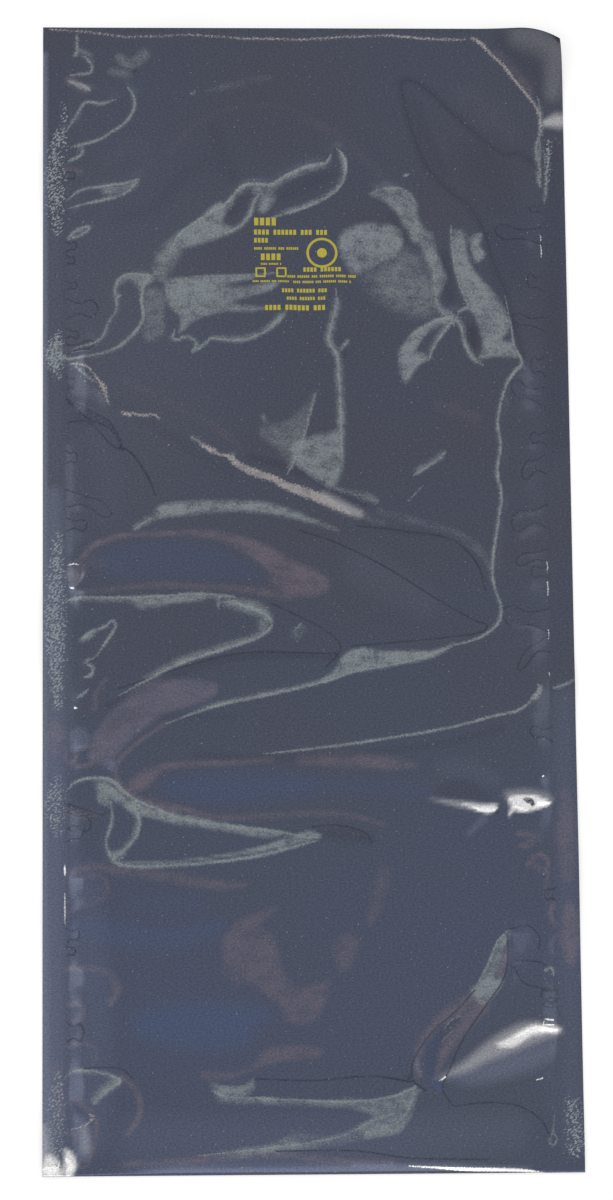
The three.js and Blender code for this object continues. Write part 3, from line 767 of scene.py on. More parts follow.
crease(even(0.3, (97.5, -114), (98.5, -117), (96, -121)), kind="dark", rise=-0.4)
patch("shade", (66, -105), (78, -101), (88, -106), (94, -112), (80, -112), (66, -110), amount=0.4, soft=1.5)
haze("rim", [(70, -96, 5), (84, -96, 6), (96, -102, 4)], amount=0.08)
crease(even(0.45, (121, -100), (122, -99.5)), kind="glint")
haze("rim", [(122, -102, 0.8), (123, -110, 0.8)], amount=0.2)
haze("rim", [(90, -122, 2), (82, -130, 1)], amount=0.2)
patch("gleam", (94, -239), (100, -236), (107, -232), (114, -229), (120, -230), (127, -231), (127, -233),
      (121, -234), (114, -235), (110, -237), (103, -241), (96, -241), amount=1.0, soft=1.8, rise=0.6)
patch("gleam", (66, -256), (79, -247), (89, -239), (100, -232), (112, -228), (127, -231), (126, -234),
      (113, -239), (103, -243), (89, -248), (79, -253), amount=0.28, soft=3)
crease([(104, -236, 0.3), (110, -233, 1.2), (116, -231.5, 1.4), (122, -232, 0.9), (127, -232, 0.4)],
       kind="glint", rise=0.3)
patch("rim", (70, -257), (89, -247), (113, -239), (125, -239), (120, -249), (103, -256), (82, -260),
      amount=0.3, soft=6)
crease(even(0.3, (120, -226.5), (125, -227)), kind="glint", rise=0.2)
crease(even(0.25, (115, -257.5), (119, -256.5)), kind="glint", rise=0.2)
crease([(65, -258, 0.5), (68, -255.5, 0.3)], kind="glint", rise=0.2)
crease([(48, -301, 0.1), (64, -302, 0.4), (80, -303, 0.8), (104, -303.5, 0.8), (116, -305, 0.5),
        (127, -307, 0.2)], kind="glint", rise=0.2)
haze("rim", [(20, -300, 1), (60, -301, 1), (110, -303, 1.2)], amount=0.25)
crease([(101, -181, 0.3), (96, -186, 0.5), (91, -197, 0.5), (86, -207, 0.5)], right_haze=0, left_haze=3.5,
       amount=0.85, rise=0.5)
patch("sheen", (103, -180), (98, -185), (94, -194), (91, -201), (85, -208), (81, -212), (88, -219),
      (95, -213), (99, -206), (94, -205), (97, -198), (99, -190), (102, -184), amount=0.8, soft=1.6)
patch("warm_reflection", (101, -187), (102, -194), (100, -200), (99, -205), (94, -204), (97, -198), (99, -191),
      amount=0.8)
haze("warm_reflection", [(84, -214, 2), (74, -221, 3), (64, -229, 2.4), (56, -238, 1.8), (53, -248, 1.2),
              (55, -255, 0.8)], amount=0.85)
haze("warm_reflection", [(88, -219, 3), (79, -228, 3.2), (70, -238, 2.6), (65, -248, 1.4), (63, -257, 0.8)],
     amount=0.85)
haze("blue_reflection", [(64, -236, 2), (61, -245, 3), (61, -253, 2.4), (64, -262, 1.5)], amount=1.0)
haze("shade", [(74, -227, 1), (66, -234, 2), (61, -245, 2.6), (61, -253, 2)], amount=0.5)
crease(even(0.2, (77, -224), (71, -227), (67, -232)), left_haze=1, right_haze=1, rise=0.2, amount=0.4)
crease(even(0.15, (72, -232), (66, -238)), left_haze=0.5, right_haze=0.5, rise=0.1, amount=0.3)
crease(even(0.4, (101, -182), (101, -196), (98, -207), (88, -221), (77, -237), (70, -252), (66, -262),
            (72, -271)), kind="dark", rise=-0.4)
crease(even(0.4, (84, -211), (74, -222), (62, -232), (52, -246), (51, -257), (58, -263)), kind="dark",
       rise=-0.4)
crease(even(0.4, (102, -180), (112, -178), (118, -184), (117, -190)), kind="dark", rise=-0.2)
crease(even(0.35, (104, -196), (118, -197), (124, -202)), kind="dark", rise=-0.2)
crease(even(0.35, (104, -199), (110, -208), (124, -211)), kind="dark", rise=-0.2)
crease([(-52, -262, 0.3), (-46, -265, 0.5), (-30, -266, 0.5), (-10, -267, 0.5), (20, -268, 0.5),
        (38, -266, 0.5), (50, -262, 0.6), (53, -260, 0.4)], right_haze=5, left_haze=1, amount=0.85,
       rise=0.5)
crease([(52, -261, 0.3), (50, -268, 0.4), (47, -275, 0.5), (40, -281, 0.4)], right_haze=8, left_haze=0.5,
       amount=0.9, rise=0.4)
crease([(42, -274, 0.3), (30, -278, 0.3), (20, -283, 0.3), (8, -287, 0.4), (-20, -291, 0.4),
        (-60, -295, 0.2)], left_haze=6, right_haze=3, amount=0.75, rise=0.4, kind="second")
patch("sheen", (-53, -258), (-48, -259), (-41, -260), (-35, -259), (-31, -256), (-31, -262), (-36, -265),
      (-45, -266), (-51, -263), amount=0.7, soft=1.5)
patch("sheen", (15, -266), (27, -268), (41, -267), (54, -262), (52, -268), (50, -275), (44, -274),
      (35, -278), (28, -274), (18, -271), amount=0.72, soft=2)
patch("sheen", (34, -279), (44, -274), (50, -275), (48, -279), (44, -284), (34, -286), (25, -287),
      (27, -282), amount=0.8, soft=1.5)
patch("sheen", (-25, -290), (-9, -284), (6, -285), (24, -282), (24, -288), (4, -290), (-25, -293),
      amount=0.4, soft=2.5)
crease(even(0.5, (-30, -256), (0, -257), (30, -255), (50, -258)), kind="dark", rise=-0.3)
haze("warm_reflection", [(-98, -299, 1), (-60, -297, 1.2), (-25, -295, 1.2), (12, -298, 1.2), (40, -299, 0.8)],
     amount=0.7, rise=0.3)
crease(even(0.4, (72, -271), (85, -269), (103, -270), (116, -277), (121, -286)), kind="dark", rise=-0.3)
crease(even(0.35, (-20, -293), (20, -293), (50, -297), (90, -298)), kind="dark", rise=-0.2)
print("widest line in mm:", round(2 * float(line["glint"]["width"].max()), 1))

# %% [markdown]
# ## The puckers along the seals
#
# A heat seal shrinks a little, so the film beside it is gathered: short fingers and loops run out of
# the seal. The left seal has the larger ones. Their outlines and fills are painted light: painted
# highlights, brownish painted reflections and painted shade.

# %% Loops of the left seal
crease(even(0.4, (-121, 302), (-121, 292), (-123, 289)), right_haze=2, rise=0.3)
crease(even(0.4, (-117, 290), (-114, 287), (-113, 283), (-115, 280.5), (-125, 279)), rise=0.4)
haze("sheen", [(-119, 293, 1.5), (-114, 290, 2)], amount=0.5)
crease([(-126, 276, 0.3), (-122, 274.5, 1.2), (-117, 272.5, 1.4), (-114, 270.5, 0.5)], rise=0.6)
haze("warm_reflection", [(-125, 276, 2), (-116, 271, 2)], amount=0.9)
haze("sheen", [(-98, 292, 2), (-93, 288, 3)], amount=0.55)
haze("sheen", [(-85, 294, 3), (-90, 289, 2.5)], amount=0.5)
haze("sheen", [(-102, 283, 2), (-95, 283, 3)], amount=0.4)
haze("shade", [(-92, 287, 0.8), (-90, 284.5, 1.2)], amount=0.8)
crease([(-94, 274, 0.4), (-91, 269, 0.6), (-90.5, 261, 0.6), (-95, 253, 0.5), (-103, 247, 0.4),
        (-109, 243, 0.4), (-119, 240, 0.5), (-124, 239, 0.3)], rise=0.5)
crease(even(0.4, (-100, 266), (-108, 263), (-116, 263.5), (-121, 257), (-127, 247)), rise=0.4)
crease(even(0.4, (-119, 240), (-118, 236), (-121, 233), (-126, 231)), rise=0.3)
haze("warm_reflection", [(-127, 227, 1.4), (-119, 225, 1.2)], amount=0.7, rise=0.3)
crease([(-127, 209, 0.3), (-119, 215, 0.5), (-110, 216.5, 0.5), (-94, 219, 0.6), (-89, 220.5, 0.7),
        (-92, 216, 0.6), (-98, 212, 0.6), (-110, 209, 0.5), (-126, 205, 0.3)], rise=0.5)
haze("sheen", [(-106, 214, 1.5), (-98, 215, 2.4), (-91, 218, 2)], amount=0.65)
crease(even(0.4, (-127, 188), (-120, 194), (-114, 195), (-118, 191), (-127, 188)), rise=0.3)
haze("sheen", [(-121, 193, 1), (-114, 195, 0.8)], amount=0.6)
crease([(-79, 170, 0.2), (-84, 168, 0.5), (-92, 169, 0.6), (-98, 167, 0.7), (-101, 161, 0.5),
        (-100, 150, 0.3), (-104, 144, 0.4), (-107, 136, 0.4), (-112, 131, 0.4), (-124, 128, 0.3)],
       left_haze=3, amount=0.6, rise=0.4)
crease([(-80, 169, 0.3), (-85, 164, 0.7), (-87, 155, 0.7), (-86, 146, 0.7), (-90, 138, 0.7),
        (-97, 131, 0.7), (-104, 127, 0.6), (-114, 124, 0.5), (-126, 123, 0.6)], left_haze=3, amount=0.6,
       rise=0.6)
crease(even(0.35, (-98, 158), (-100, 156)), rise=0.1)
# Each finger: its place along the seal, how far it runs in, its half width and its lean
left_fingers = (
    (223, 5, 3, 0), (184, 6, 3, 1), (177, 5, 3, -1), (163, 6, 2.5, 0), (150, 17, 6, 0), (137, 7, 3, -2),
    (128, 15, 3, 3), (110, 5, 4, 0), (95, 30, 7, -20), (70, 6, 4, 0), (48, 24, 5, -9), (34, 11, 4, -1),
    (-122, 13, 5, -3), (-130, 9, 4, 2), (-182, 7, 4, 1), (-190, 5, 3, 0), (-232, 9, 6, 0),
)
for y, run, spread, lean in left_fingers:
    finger(-half_pouch, y, run, spread, lean)
crease([(-128, 132, 0.4), (-133, 130, 0.3), (-129, 128, 0.4), (-136, 124, 0.3), (-128, 124, 0.5),
        (-132, 119, 0.3)], rise=0.2)
crease([(-126, 12.5, 0.1), (-123, 13, 0.25), (-120, 12, 0.1)], kind="glint", rise=0.2)
crease([(-125, 0.5, 0.2), (-122.5, 0, 0.3)], kind="glint", rise=0.2)
haze("warm_reflection", even(0.5, (-122, 14), (-118, 12), (-117, 8), (-119, 4), (-123, 2)), amount=0.8, rise=0.9)
haze("gleam", [(-124, 8, 2.2), (-122, 6, 2)], amount=0.1)
haze("rim", [(-126, 76, 1), (-125, 55, 2), (-126, 40, 1), (-125.5, 20, 1.5)], amount=0.22)
haze("rim", [(-110, 78, 8), (-104, 60, 12), (-106, 42, 10)], amount=0.07)
crease(even(0.7, (-122.5, -63), (-121.5, -63)), kind="glint", rise=0.2)
crease(even(0.5, (-121, -58), (-115, -53)), left_haze=1, rise=0.3)
patch("rim", (-126, -75), (-119, -73), (-115, -77), (-115, -83), (-121, -86), (-125, -85), amount=0.2,
      soft=1.5)
haze("warm_reflection", [(-127, -84, 0.6), (-127, -90, 0.6), (-124, -92, 0.6), (-121, -88, 0.6)], amount=0.7, rise=0.3)
haze("warm_reflection", even(0.7, (-120, -84), (-112, -84), (-113, -92), (-121, -94)), amount=0.8, rise=0.5)
haze("warm_reflection", [(-126, -117, 1), (-118, -119, 2), (-110, -118, 1)], amount=0.7, rise=0.3)
haze("warm_reflection", even(0.7, (-127, -153), (-112, -151), (-106, -154), (-106, -160), (-110, -164), (-127, -170)),
     amount=0.45, rise=0.6)
haze("warm_reflection", [(-127, -199, 0.7), (-114, -199, 1), (-106, -201, 1.4), (-100.5, -209, 1.6),
              (-104, -217, 0.9)], amount=0.8, rise=0.6)
haze("warm_reflection", even(0.8, (-126, -217), (-119, -218), (-118, -224), (-123, -226)), amount=0.7, rise=0.4)
haze("warm_reflection", even(0.6, (-127, -239), (-117, -237), (-112, -241), (-112, -246)), amount=0.6, rise=0.4)
crease([(-127.5, -145, 0.1), (-127.5, -148, 0.45), (-127.5, -151, 0.1)], kind="glint", rise=0.1)
crease([(-127.5, -160, 0.05), (-127.5, -168, 0.2), (-127.5, -176, 0.05)], kind="glint", rise=0.1)
crease([(-128, -255, 0.1), (-122, -251, 0.25), (-111, -252, 0.25), (-103, -254, 0.4), (-99, -257, 0.7),
        (-104, -260, 0.9), (-110, -265, 1.1), (-113, -269, 0.3)], right_haze=3, rise=0.6)
haze("sheen", [(-101, -257, 2), (-108, -262, 2.4), (-112, -267, 1.5)], amount=0.7)
crease(even(0.35, (-118, -250), (-100, -250), (-92, -256)), kind="dark", rise=-0.2)
haze("warm_reflection", even(0.9, (-99, -254), (-93, -259), (-89, -267), (-90, -276), (-96, -284)), amount=0.8,
     rise=0.5)
haze("warm_reflection", even(0.6, (-124, -265), (-117, -270), (-112, -275), (-112, -287), (-116, -299), (-121, -300)),
     amount=0.8, rise=0.4)
crease([(-124, -281, 0.1), (-117, -279, 0.25), (-113, -275, 0.4), (-116, -273.5, 0.1)], kind="pale",
       rise=0.3)
patch("rim", (-124, -272), (-117, -276), (-113, -285), (-116, -297), (-123, -294), amount=0.35, soft=2)
haze("gleam", [(-118, -282, 1.5), (-117, -291, 2)], amount=0.15)
haze("warm_reflection", even(0.8, (-126, -283), (-122, -283), (-123, -287)), amount=0.9, rise=0.3)
print("fingers at the left seal:", len(left_fingers))

# %% Loops of the right seal
right_fingers = (
    (205, 7, 2.5, 0), (190, 26, 5, 3), (164, 9, 5, 2), (142, 17, 4, 4), (119, 8, 6, 0), (102, 19, 6, 6),
    (80, 9, 4, 0), (66, 14, 6, -6), (38, 20, 7, -5), (17, 18, 4, -4), (8, 10, 4, 0), (-18, 26, 7, 3),
    (-30, 18, 5, -14), (-78, 12, 4, 2), (-162, 6, 4, 0), (-214, 9, 3, 0), (-219, 8, 2, 0),
)
for y, run, spread, lean in right_fingers:
    finger(half_pouch, y, run, spread, lean)
for top, bottom in ((191, 187), (185, 178), (14, 8), (4, -5), (-22, -28), (-45, -48)):
    crease(even(0.05, (125.6, top), (126, (top + bottom) / 2), (125.6, bottom)), kind="glint", rise=0.1)
crease(even(0.25, (126, 248), (126.5, 238), (125.5, 230), (125, 222), (127, 217)), kind="second", rise=0.2)
crease(even(0.2, (131, 240), (130, 228), (129, 216), (128, 208)), kind="second", rise=0.1)
haze("sheen", [(124.5, 232, 1.5), (125, 224, 1)], amount=0.4)
haze("warm_reflection", [(108, -130, 0.8), (112, -130, 1.4), (116, -131.5, 1.2), (113, -136, 1.4),
              (109, -136, 0.8)], amount=0.7, rise=0.4)
haze("warm_reflection", [(113, -146, 1.2), (116, -142, 1), (120, -141, 0.8), (123, -145, 0.8), (121, -150, 0.8),
              (117, -147, 1.2)], amount=0.7, rise=0.5)
haze("warm_reflection", [(123, -151, 0.8), (122, -157, 0.7), (121, -163, 0.5)], amount=0.6)
haze("warm_reflection", [(126, -166, 0.7), (124, -172, 1), (126, -178, 0.7)], amount=0.7, rise=0.3)
haze("warm_reflection", [(126, -183, 0.6), (123.5, -188, 0.8), (126, -193, 0.5)], amount=0.6, rise=0.3)
crease(even(0.4, (120, -201), (124, -200), (125, -204)), rise=0.2)
crease(even(0.2, (124, -276), (123, -284), (121, -289), (123, -291), (125, -288), (124, -285)),
       kind="second", rise=0.3, left_haze=0.8, right_haze=0.8)
haze("glint_speck", [(133, -270, 4), (135, -292, 5)], amount=0.9)
haze("glint_speck", [(131, 243, 1.5), (130, 226, 1.5)], amount=0.7)
print("fingers at the right seal:", len(right_fingers))

# %% [markdown]
# The seals are flat embossed strips. Over some stretches their small bumps carry a spray of fine
# specks of painted highlight, painted glints. The outer edge of the left seal is painted paler, a
# painted reflection of where it bends down a little.

# %% The seals
# Each stretch of painted glint specks on the left seal: its top, its bottom and its strength
left_sprays = ((248, 192, 0.9), (136, 114, 1.0), (28, -62, 0.95), (-100, -128, 0.8), (-252, -300, 0.7))
for top, bottom, amount in left_sprays:
    middle = (top + bottom) / 2
    haze("glint_speck", [(-131, top, 2), (-133, middle, 6), (-131, bottom, 2)], amount=amount, edge=0.7)
haze("glint_speck", [(-128, 262, 1.5), (-128, 236, 2)], amount=0.8)
# Painted light along the seals: a sheen, brownish and paler painted reflections, painted shade by the right
# seal's head, and white painted gleams and glints at the foot's left corner
haze("sheen", [(-134, 124, 2), (-130, 122, 2)], amount=0.5)
haze("warm_reflection", [(-133, -72, 2), (-132, -78, 5), (-133, -86, 2)], amount=0.6)
haze("warm_reflection", [(-133, -250, 3), (-132, -266, 5), (-133, -282, 3)], amount=0.45)
haze("warm_reflection", [(133, -108, 2), (133, -130, 5), (133, -152, 3)], amount=0.55)
haze("warm_reflection", [(134, -168, 2), (134, -182, 5), (134, -197, 2)], amount=0.75)
haze("gleam", [(130, 253, 1.5), (135, 254, 3), (138, 254, 3)], amount=0.45)
haze("glint_speck", [(131, 240, 1.5), (130, 222, 1.5)], amount=0.9)
haze("rim", [(-134, 190, 5), (-134, 120, 6), (-134, 60, 6)], amount=0.1)
haze("rim", [(-134, 50, 5), (-134, 0, 7), (-134, -120, 7), (-134, -290, 7)], amount=0.28)
haze("rim", [(-138.5, 290, 1), (-138.5, 0, 1.5), (-138.5, -150, 2.5), (-138, -300, 5)], amount=0.5)
haze("rim", [(133, -60, 6), (133, -290, 7)], amount=0.12)
haze("shade", [(133, 235, 4), (133, 190, 6), (133, 80, 6)], amount=0.35)
haze("rim", [(-118, -150, 8), (-114, -215, 12), (-112, -285, 10)], amount=0.12)
haze("rim", [(-90, -286, 14), (0, -288, 14), (100, -284, 12)], amount=0.12)
patch("gleam", (-139, -299), (-137, -294), (-133, -295), (-130, -299), (-129, -305), (-139, -305),
      amount=0.95, soft=1.5)
patch("gleam", (-127.5, -291), (-124, -293), (-121.5, -299), (-123.5, -304), (-127.5, -305), amount=0.95)
haze("gleam", [(-138.5, -280, 1), (-138, -296, 4)], amount=0.25)
crease([(-138, -301, 1.5), (-134, -302, 1.8), (-131, -299, 1)], kind="glint", rise=0.0)
crease([(-127, -296, 0.6), (-124.5, -300, 1.3), (-127, -303, 0.6)], kind="glint", rise=0.0)
haze("shade", [(-128.5, -300, 0.7), (-129, -305, 0.7)], amount=0.8)

# A painted reflection: the film is painted bluer and paler towards its foot and its left side, as if
# it mirrored a bluer and paler part of the room, but less bluish at the foot's right
lower = smooth(60, -240, Y)
left_side = bell(X + 106, 60) * bell(Y - 130, 110)
lower_right = bell(X - 95, 60) * bell(Y + 275, 50)
tint["blue_reflection"][:] = np.maximum(tint["blue_reflection"], 0.32 * lower * (1 - 0.8 * lower_right))
tint["rim"][:] = np.maximum(tint["rim"], 0.045 * lower + 0.07 * left_side)
print("blue in all:", round(float(tint["blue_reflection"].mean()), 3))

# %% The curled corner
# Painted light on the curled corner: a pale highlight along its crease, a brownish painted reflection,
# painted shade beside it and a faint painted gleam towards the tip
crease([(90, 304, 0.4), (95, 300, 0.6), (103, 290, 0.6), (107, 286, 0.7), (114, 276, 0.6), (122, 266, 0.6),
        (126, 258, 0.6), (127.5, 246, 0.4)], rise=0.5, kind="pale")
haze("warm_reflection", [(104, 294, 1), (110, 287, 2.4), (117, 277, 2), (122, 270, 1)], amount=0.55)
haze("shade", [(108, 300, 5), (118, 290, 6), (127, 278, 3), (127, 268, 2)], amount=0.45)
haze("gleam", [(118, 302, 6), (130, 298, 7), (137, 290, 6)], amount=0.07)
haze("gleam", [(137, 302, 5), (136, 286, 5), (134, 270, 4)], amount=0.08)
crease([(125.5, 268, 0.2), (127, 258, 0.4), (126, 246, 0.5), (124, 238, 0.4), (126, 228, 0.5),
        (125.5, 216, 0.2)], rise=0.2)
print("furrows and ridges in mm:", round(float(furrows.min()), 2), round(float(ridges.max()), 2))

# %% [markdown]
# ## Bending the web
#
# The flat web becomes the pouch in one go. The back film lies on the table, apart from small arches
# under its sides. The front film stands off it in a low pillow with the relief on top, its lip is
# drawn back a little at the mouth, and the corner of the mouth rolls up over its crease.

# %% Gathers
left_puckers = [286, 240, 193, 172, 98, 75, 46, -33, -56, -79, -117, -126, -141, -181, -222, -241, -284]
right_puckers = [204, 166, 146, 118, 79, 50, 19, 1, -81, -98, -132, -147, -171, -193, -215, -274, -289]
pucker_height = 0.35
pucker_length = 20.0
pucker_width = 6.0
seal_fade = 11.0


def gathers(x, y):
    from_seal = half_pouch - np.abs(x)
    left = sum(bell(y - place, pucker_width) for place in left_puckers)
    right = sum(bell(y - place, pucker_width) for place in right_puckers)
    return pucker_height * bell(from_seal, pucker_length) * np.where(x < 0, left, right)


inside = smooth(0, seal_fade, half_pouch - np.abs(X)) * (1 - np.exp(-(Y + half_length) / foot_rise))
gap = stand_off(X, Y) + (relief + ridges + furrows + gathers(X, Y) + clearance) * inside
front_height = back_height(X, Y) + 2 * film_thickness + np.maximum(gap, 0)
print("front film's height in mm:", round(float(front_height.max()), 1))

# %% The lip and the curl
lip_places = [(-139, 0), (-127, 0), (-112, 1.8), (-95, 4.4), (-75, 3.8), (-60, 2.9), (-35, 4.9), (0, 5.4),
              (25, 3.7), (45, 2.9), (68, 4.9), (85, 5.2), (92, 3.2), (105, 1.2), (139, 0)]
curl_along_mouth = 47.0
curl_along_seal = 51.0
curl_radius = 50.0
corner_draw = 7.0
curl_start = np.array((half_bag - curl_along_mouth, half_length))
curl_run = np.array((curl_along_mouth, -curl_along_seal)) / math.hypot(curl_along_mouth, curl_along_seal)
curl_outward = np.array((-curl_run[1], curl_run[0]))
corner_depth = curl_along_mouth * curl_along_seal / math.hypot(curl_along_mouth, curl_along_seal)


def drawn_back(x, y):
    at_mouth = smooth(half_length - mouth_slope, half_length, y)
    return y - at_mouth * np.interp(x, *np.array(lip_places).T)


def curled(x, y, z):
    """Rolls all that lies beyond the corner's crease up over it, and draws its outer half in."""
    beyond = np.maximum((x - curl_start[0]) * curl_outward[0] + (y - curl_start[1]) * curl_outward[1], 0)
    turn = beyond / curl_radius
    pull = (curl_radius - z) * np.sin(turn) - beyond
    rise = np.where(beyond > 0, curl_radius - (curl_radius - z) * np.cos(turn), z)
    pull = np.where(beyond > 0, pull, 0)
    outer_half = np.maximum(0, 2 * beyond / corner_depth - 1)
    return x + curl_outward[0] * pull, y + curl_outward[1] * pull - corner_draw * outer_half**2, rise


front_points = np.stack(curled(X, drawn_back(X, Y), front_height), -1)
back_along = np.linspace(half_length, -half_length, back_rows + 1)
XB, YB = np.meshgrid(across, back_along)
back_points = np.stack(curled(XB, YB, back_height(XB, YB)), -1)
print("curled corner's height in mm:", round(float(front_points[..., 2].max()), 1))

# %% [markdown]
# The web is a grid from the grid operator, with one column of cells for each step across and a row
# for each step along: first up the back from the mouth to the foot, then down the front. The grid's
# own texture coordinates keep the place on the flat web.

# %% The film's mesh
web_rows = back_rows + front_rows + 1
web_form = bmesh.new()
web_form.loops.layers.uv.new("web")
bmesh.ops.create_grid(web_form, x_segments=columns, y_segments=web_rows, size=1, calc_uvs=True)
web_mesh = bpy.data.meshes.new("film_pouch")
web_form.to_mesh(web_mesh)
web_form.free()

flat = np.zeros(len(web_mesh.vertices) * 3)
web_mesh.vertices.foreach_get("co", flat)
flat = flat.reshape(-1, 3)
column = np.rint((flat[:, 0] + 1) / 2 * columns).astype(int)
row = np.rint((flat[:, 1] + 1) / 2 * web_rows).astype(int)
on_back = row <= back_rows
back_row = np.minimum(row, back_rows)
front_row = np.maximum(row - back_rows - 1, 0)
bent = np.where(on_back[:, None], back_points[back_row, column], front_points[front_row, column])
web_mesh.vertices.foreach_set("co", (bent * MM).ravel())


def keep_on_film(name, values, elsewhere):
    """Stores a layer of the front panel with the mesh, and one value all over the back."""
    layer = web_mesh.attributes.new(name, "FLOAT", "POINT")
    layer.data.foreach_set("value", np.where(on_back, elsewhere, values[front_row, column]))


for name, values in tint.items():
    keep_on_film(name, values, 0.0)
for name, layers in line.items():
    keep_on_film(name + "_side", layers["side"], far_off)
    keep_on_film(name + "_width", layers["width"], no_width)
web_mesh.polygons.foreach_set("use_smooth", np.ones(len(web_mesh.polygons), bool))
web_mesh.update()
print("film's triangles:", 2 * len(web_mesh.polygons))

# %% [markdown]
# ## The finish of the film
#
# Shielding film is a clear laminate with a very thin layer of metal inside, so it is dark and
# mirrors softly. A metallic base in slate gives that, under a thin clear coat for the sharp glints.
# The tints and lines drawn along the creases are painted light: painted highlights, painted
# reflections of the room's colours and painted shade. A fine slanting grain, stretched noise at a
# hair's scale, frays the edges of the painted highlights and brownish reflections as brushed metal
# does, and drives a slight bump. The seals are embossed, so they carry small bumps and scattered
# specks of painted highlight. Last, a fine mottle breaks up the even tone of the metal, and a few
# motes of dust lie on the film.

# %% Film colours
slate = (0.053, 0.059, 0.084, 1)
# Colours of the painted light: sheen and gleam for painted highlights, the bluish, brownish and paler ones
# for painted reflections of the room, shade for painted shade
tint_colours = {
    "blue_reflection": (0.047, 0.069, 0.142, 1),
    "warm_reflection": (0.112, 0.096, 0.128, 1),
    "shade": (0.034, 0.038, 0.060, 1),
    "rim": (0.210, 0.235, 0.345, 1),
    "gleam": (0.74, 0.73, 0.74, 1),
    "sheen": (0.190, 0.214, 0.232, 1),
}
frayed_tints = ("sheen", "warm_reflection")
frayed_lines = ("dark", "bright", "second", "pale")
line_fray = {"dark": 0.5, "bright": 0.9, "second": 0.9, "pale": 1.8, "glint": 0.5}
# Colours of the painted lines: dark ones are painted shade, the others painted highlights and glints
line_colours = {
    "dark": (0.026, 0.029, 0.048, 1),
    "bright": (0.215, 0.244, 0.255, 1),
    "second": (0.215, 0.244, 0.255, 1),
    "pale": (0.34, 0.31, 0.31, 1),
    "glint": (0.95, 0.95, 0.95, 1),
}
line_strengths = {"dark": 0.85, "bright": 0.75, "second": 0.75, "pale": 0.9, "glint": 1.0}
# The colour of the painted glint specks, and also of the motes of dust
glint_and_dust_colour = (0.24, 0.27, 0.29, 1)
grain_slant = math.radians(55)
grain_cell = (1.6, 0.8, 1)
fray_everywhere = 0.25
fray_with_tint = 0.45
tint_strength = 1.5
line_sharpness = 1.6
mottle_range = (0.72, 1.28)
speck_lift = 0.27
speck_levels = (0.73, 0.79)
speck_strength = 0.95
dust_scale = 0.035
dust_size = 0.008
dust_strength = 0.4
bump_distance = 0.12 * MM
print("tones of the film:", len(tint_colours) + len(line_colours))


# %% Short names for shader nodes
def node(nodes, kind, **inputs):
    made = nodes.new("ShaderNode" + kind)
    for key, value in inputs.items():
        made.inputs[key.replace("_", " ")].default_value = value
    return made


def maths(nodes, links, operation, first, second=None, clamp=False):
    made = nodes.new("ShaderNodeMath")
    made.operation = operation
    made.use_clamp = clamp
    for socket, value in zip(made.inputs, (first, second)):
        if isinstance(value, bpy.types.NodeSocket):
            links.new(value, socket)
        elif value is not None:
            socket.default_value = value
    return made.outputs[0]


def mix_colour(nodes, links, factor, first, second):
    made = nodes.new("ShaderNodeMix")
    made.data_type = "RGBA"
    for socket, value in zip((made.inputs[0], made.inputs[6], made.inputs[7]), (factor, first, second)):
        if isinstance(value, bpy.types.NodeSocket):
            links.new(value, socket)
        else:
            socket.default_value = value
    return made.outputs[2]


def stored(nodes, name):
    layer = nodes.new("ShaderNodeAttribute")
    layer.attribute_name = name
    return layer.outputs["Fac"]


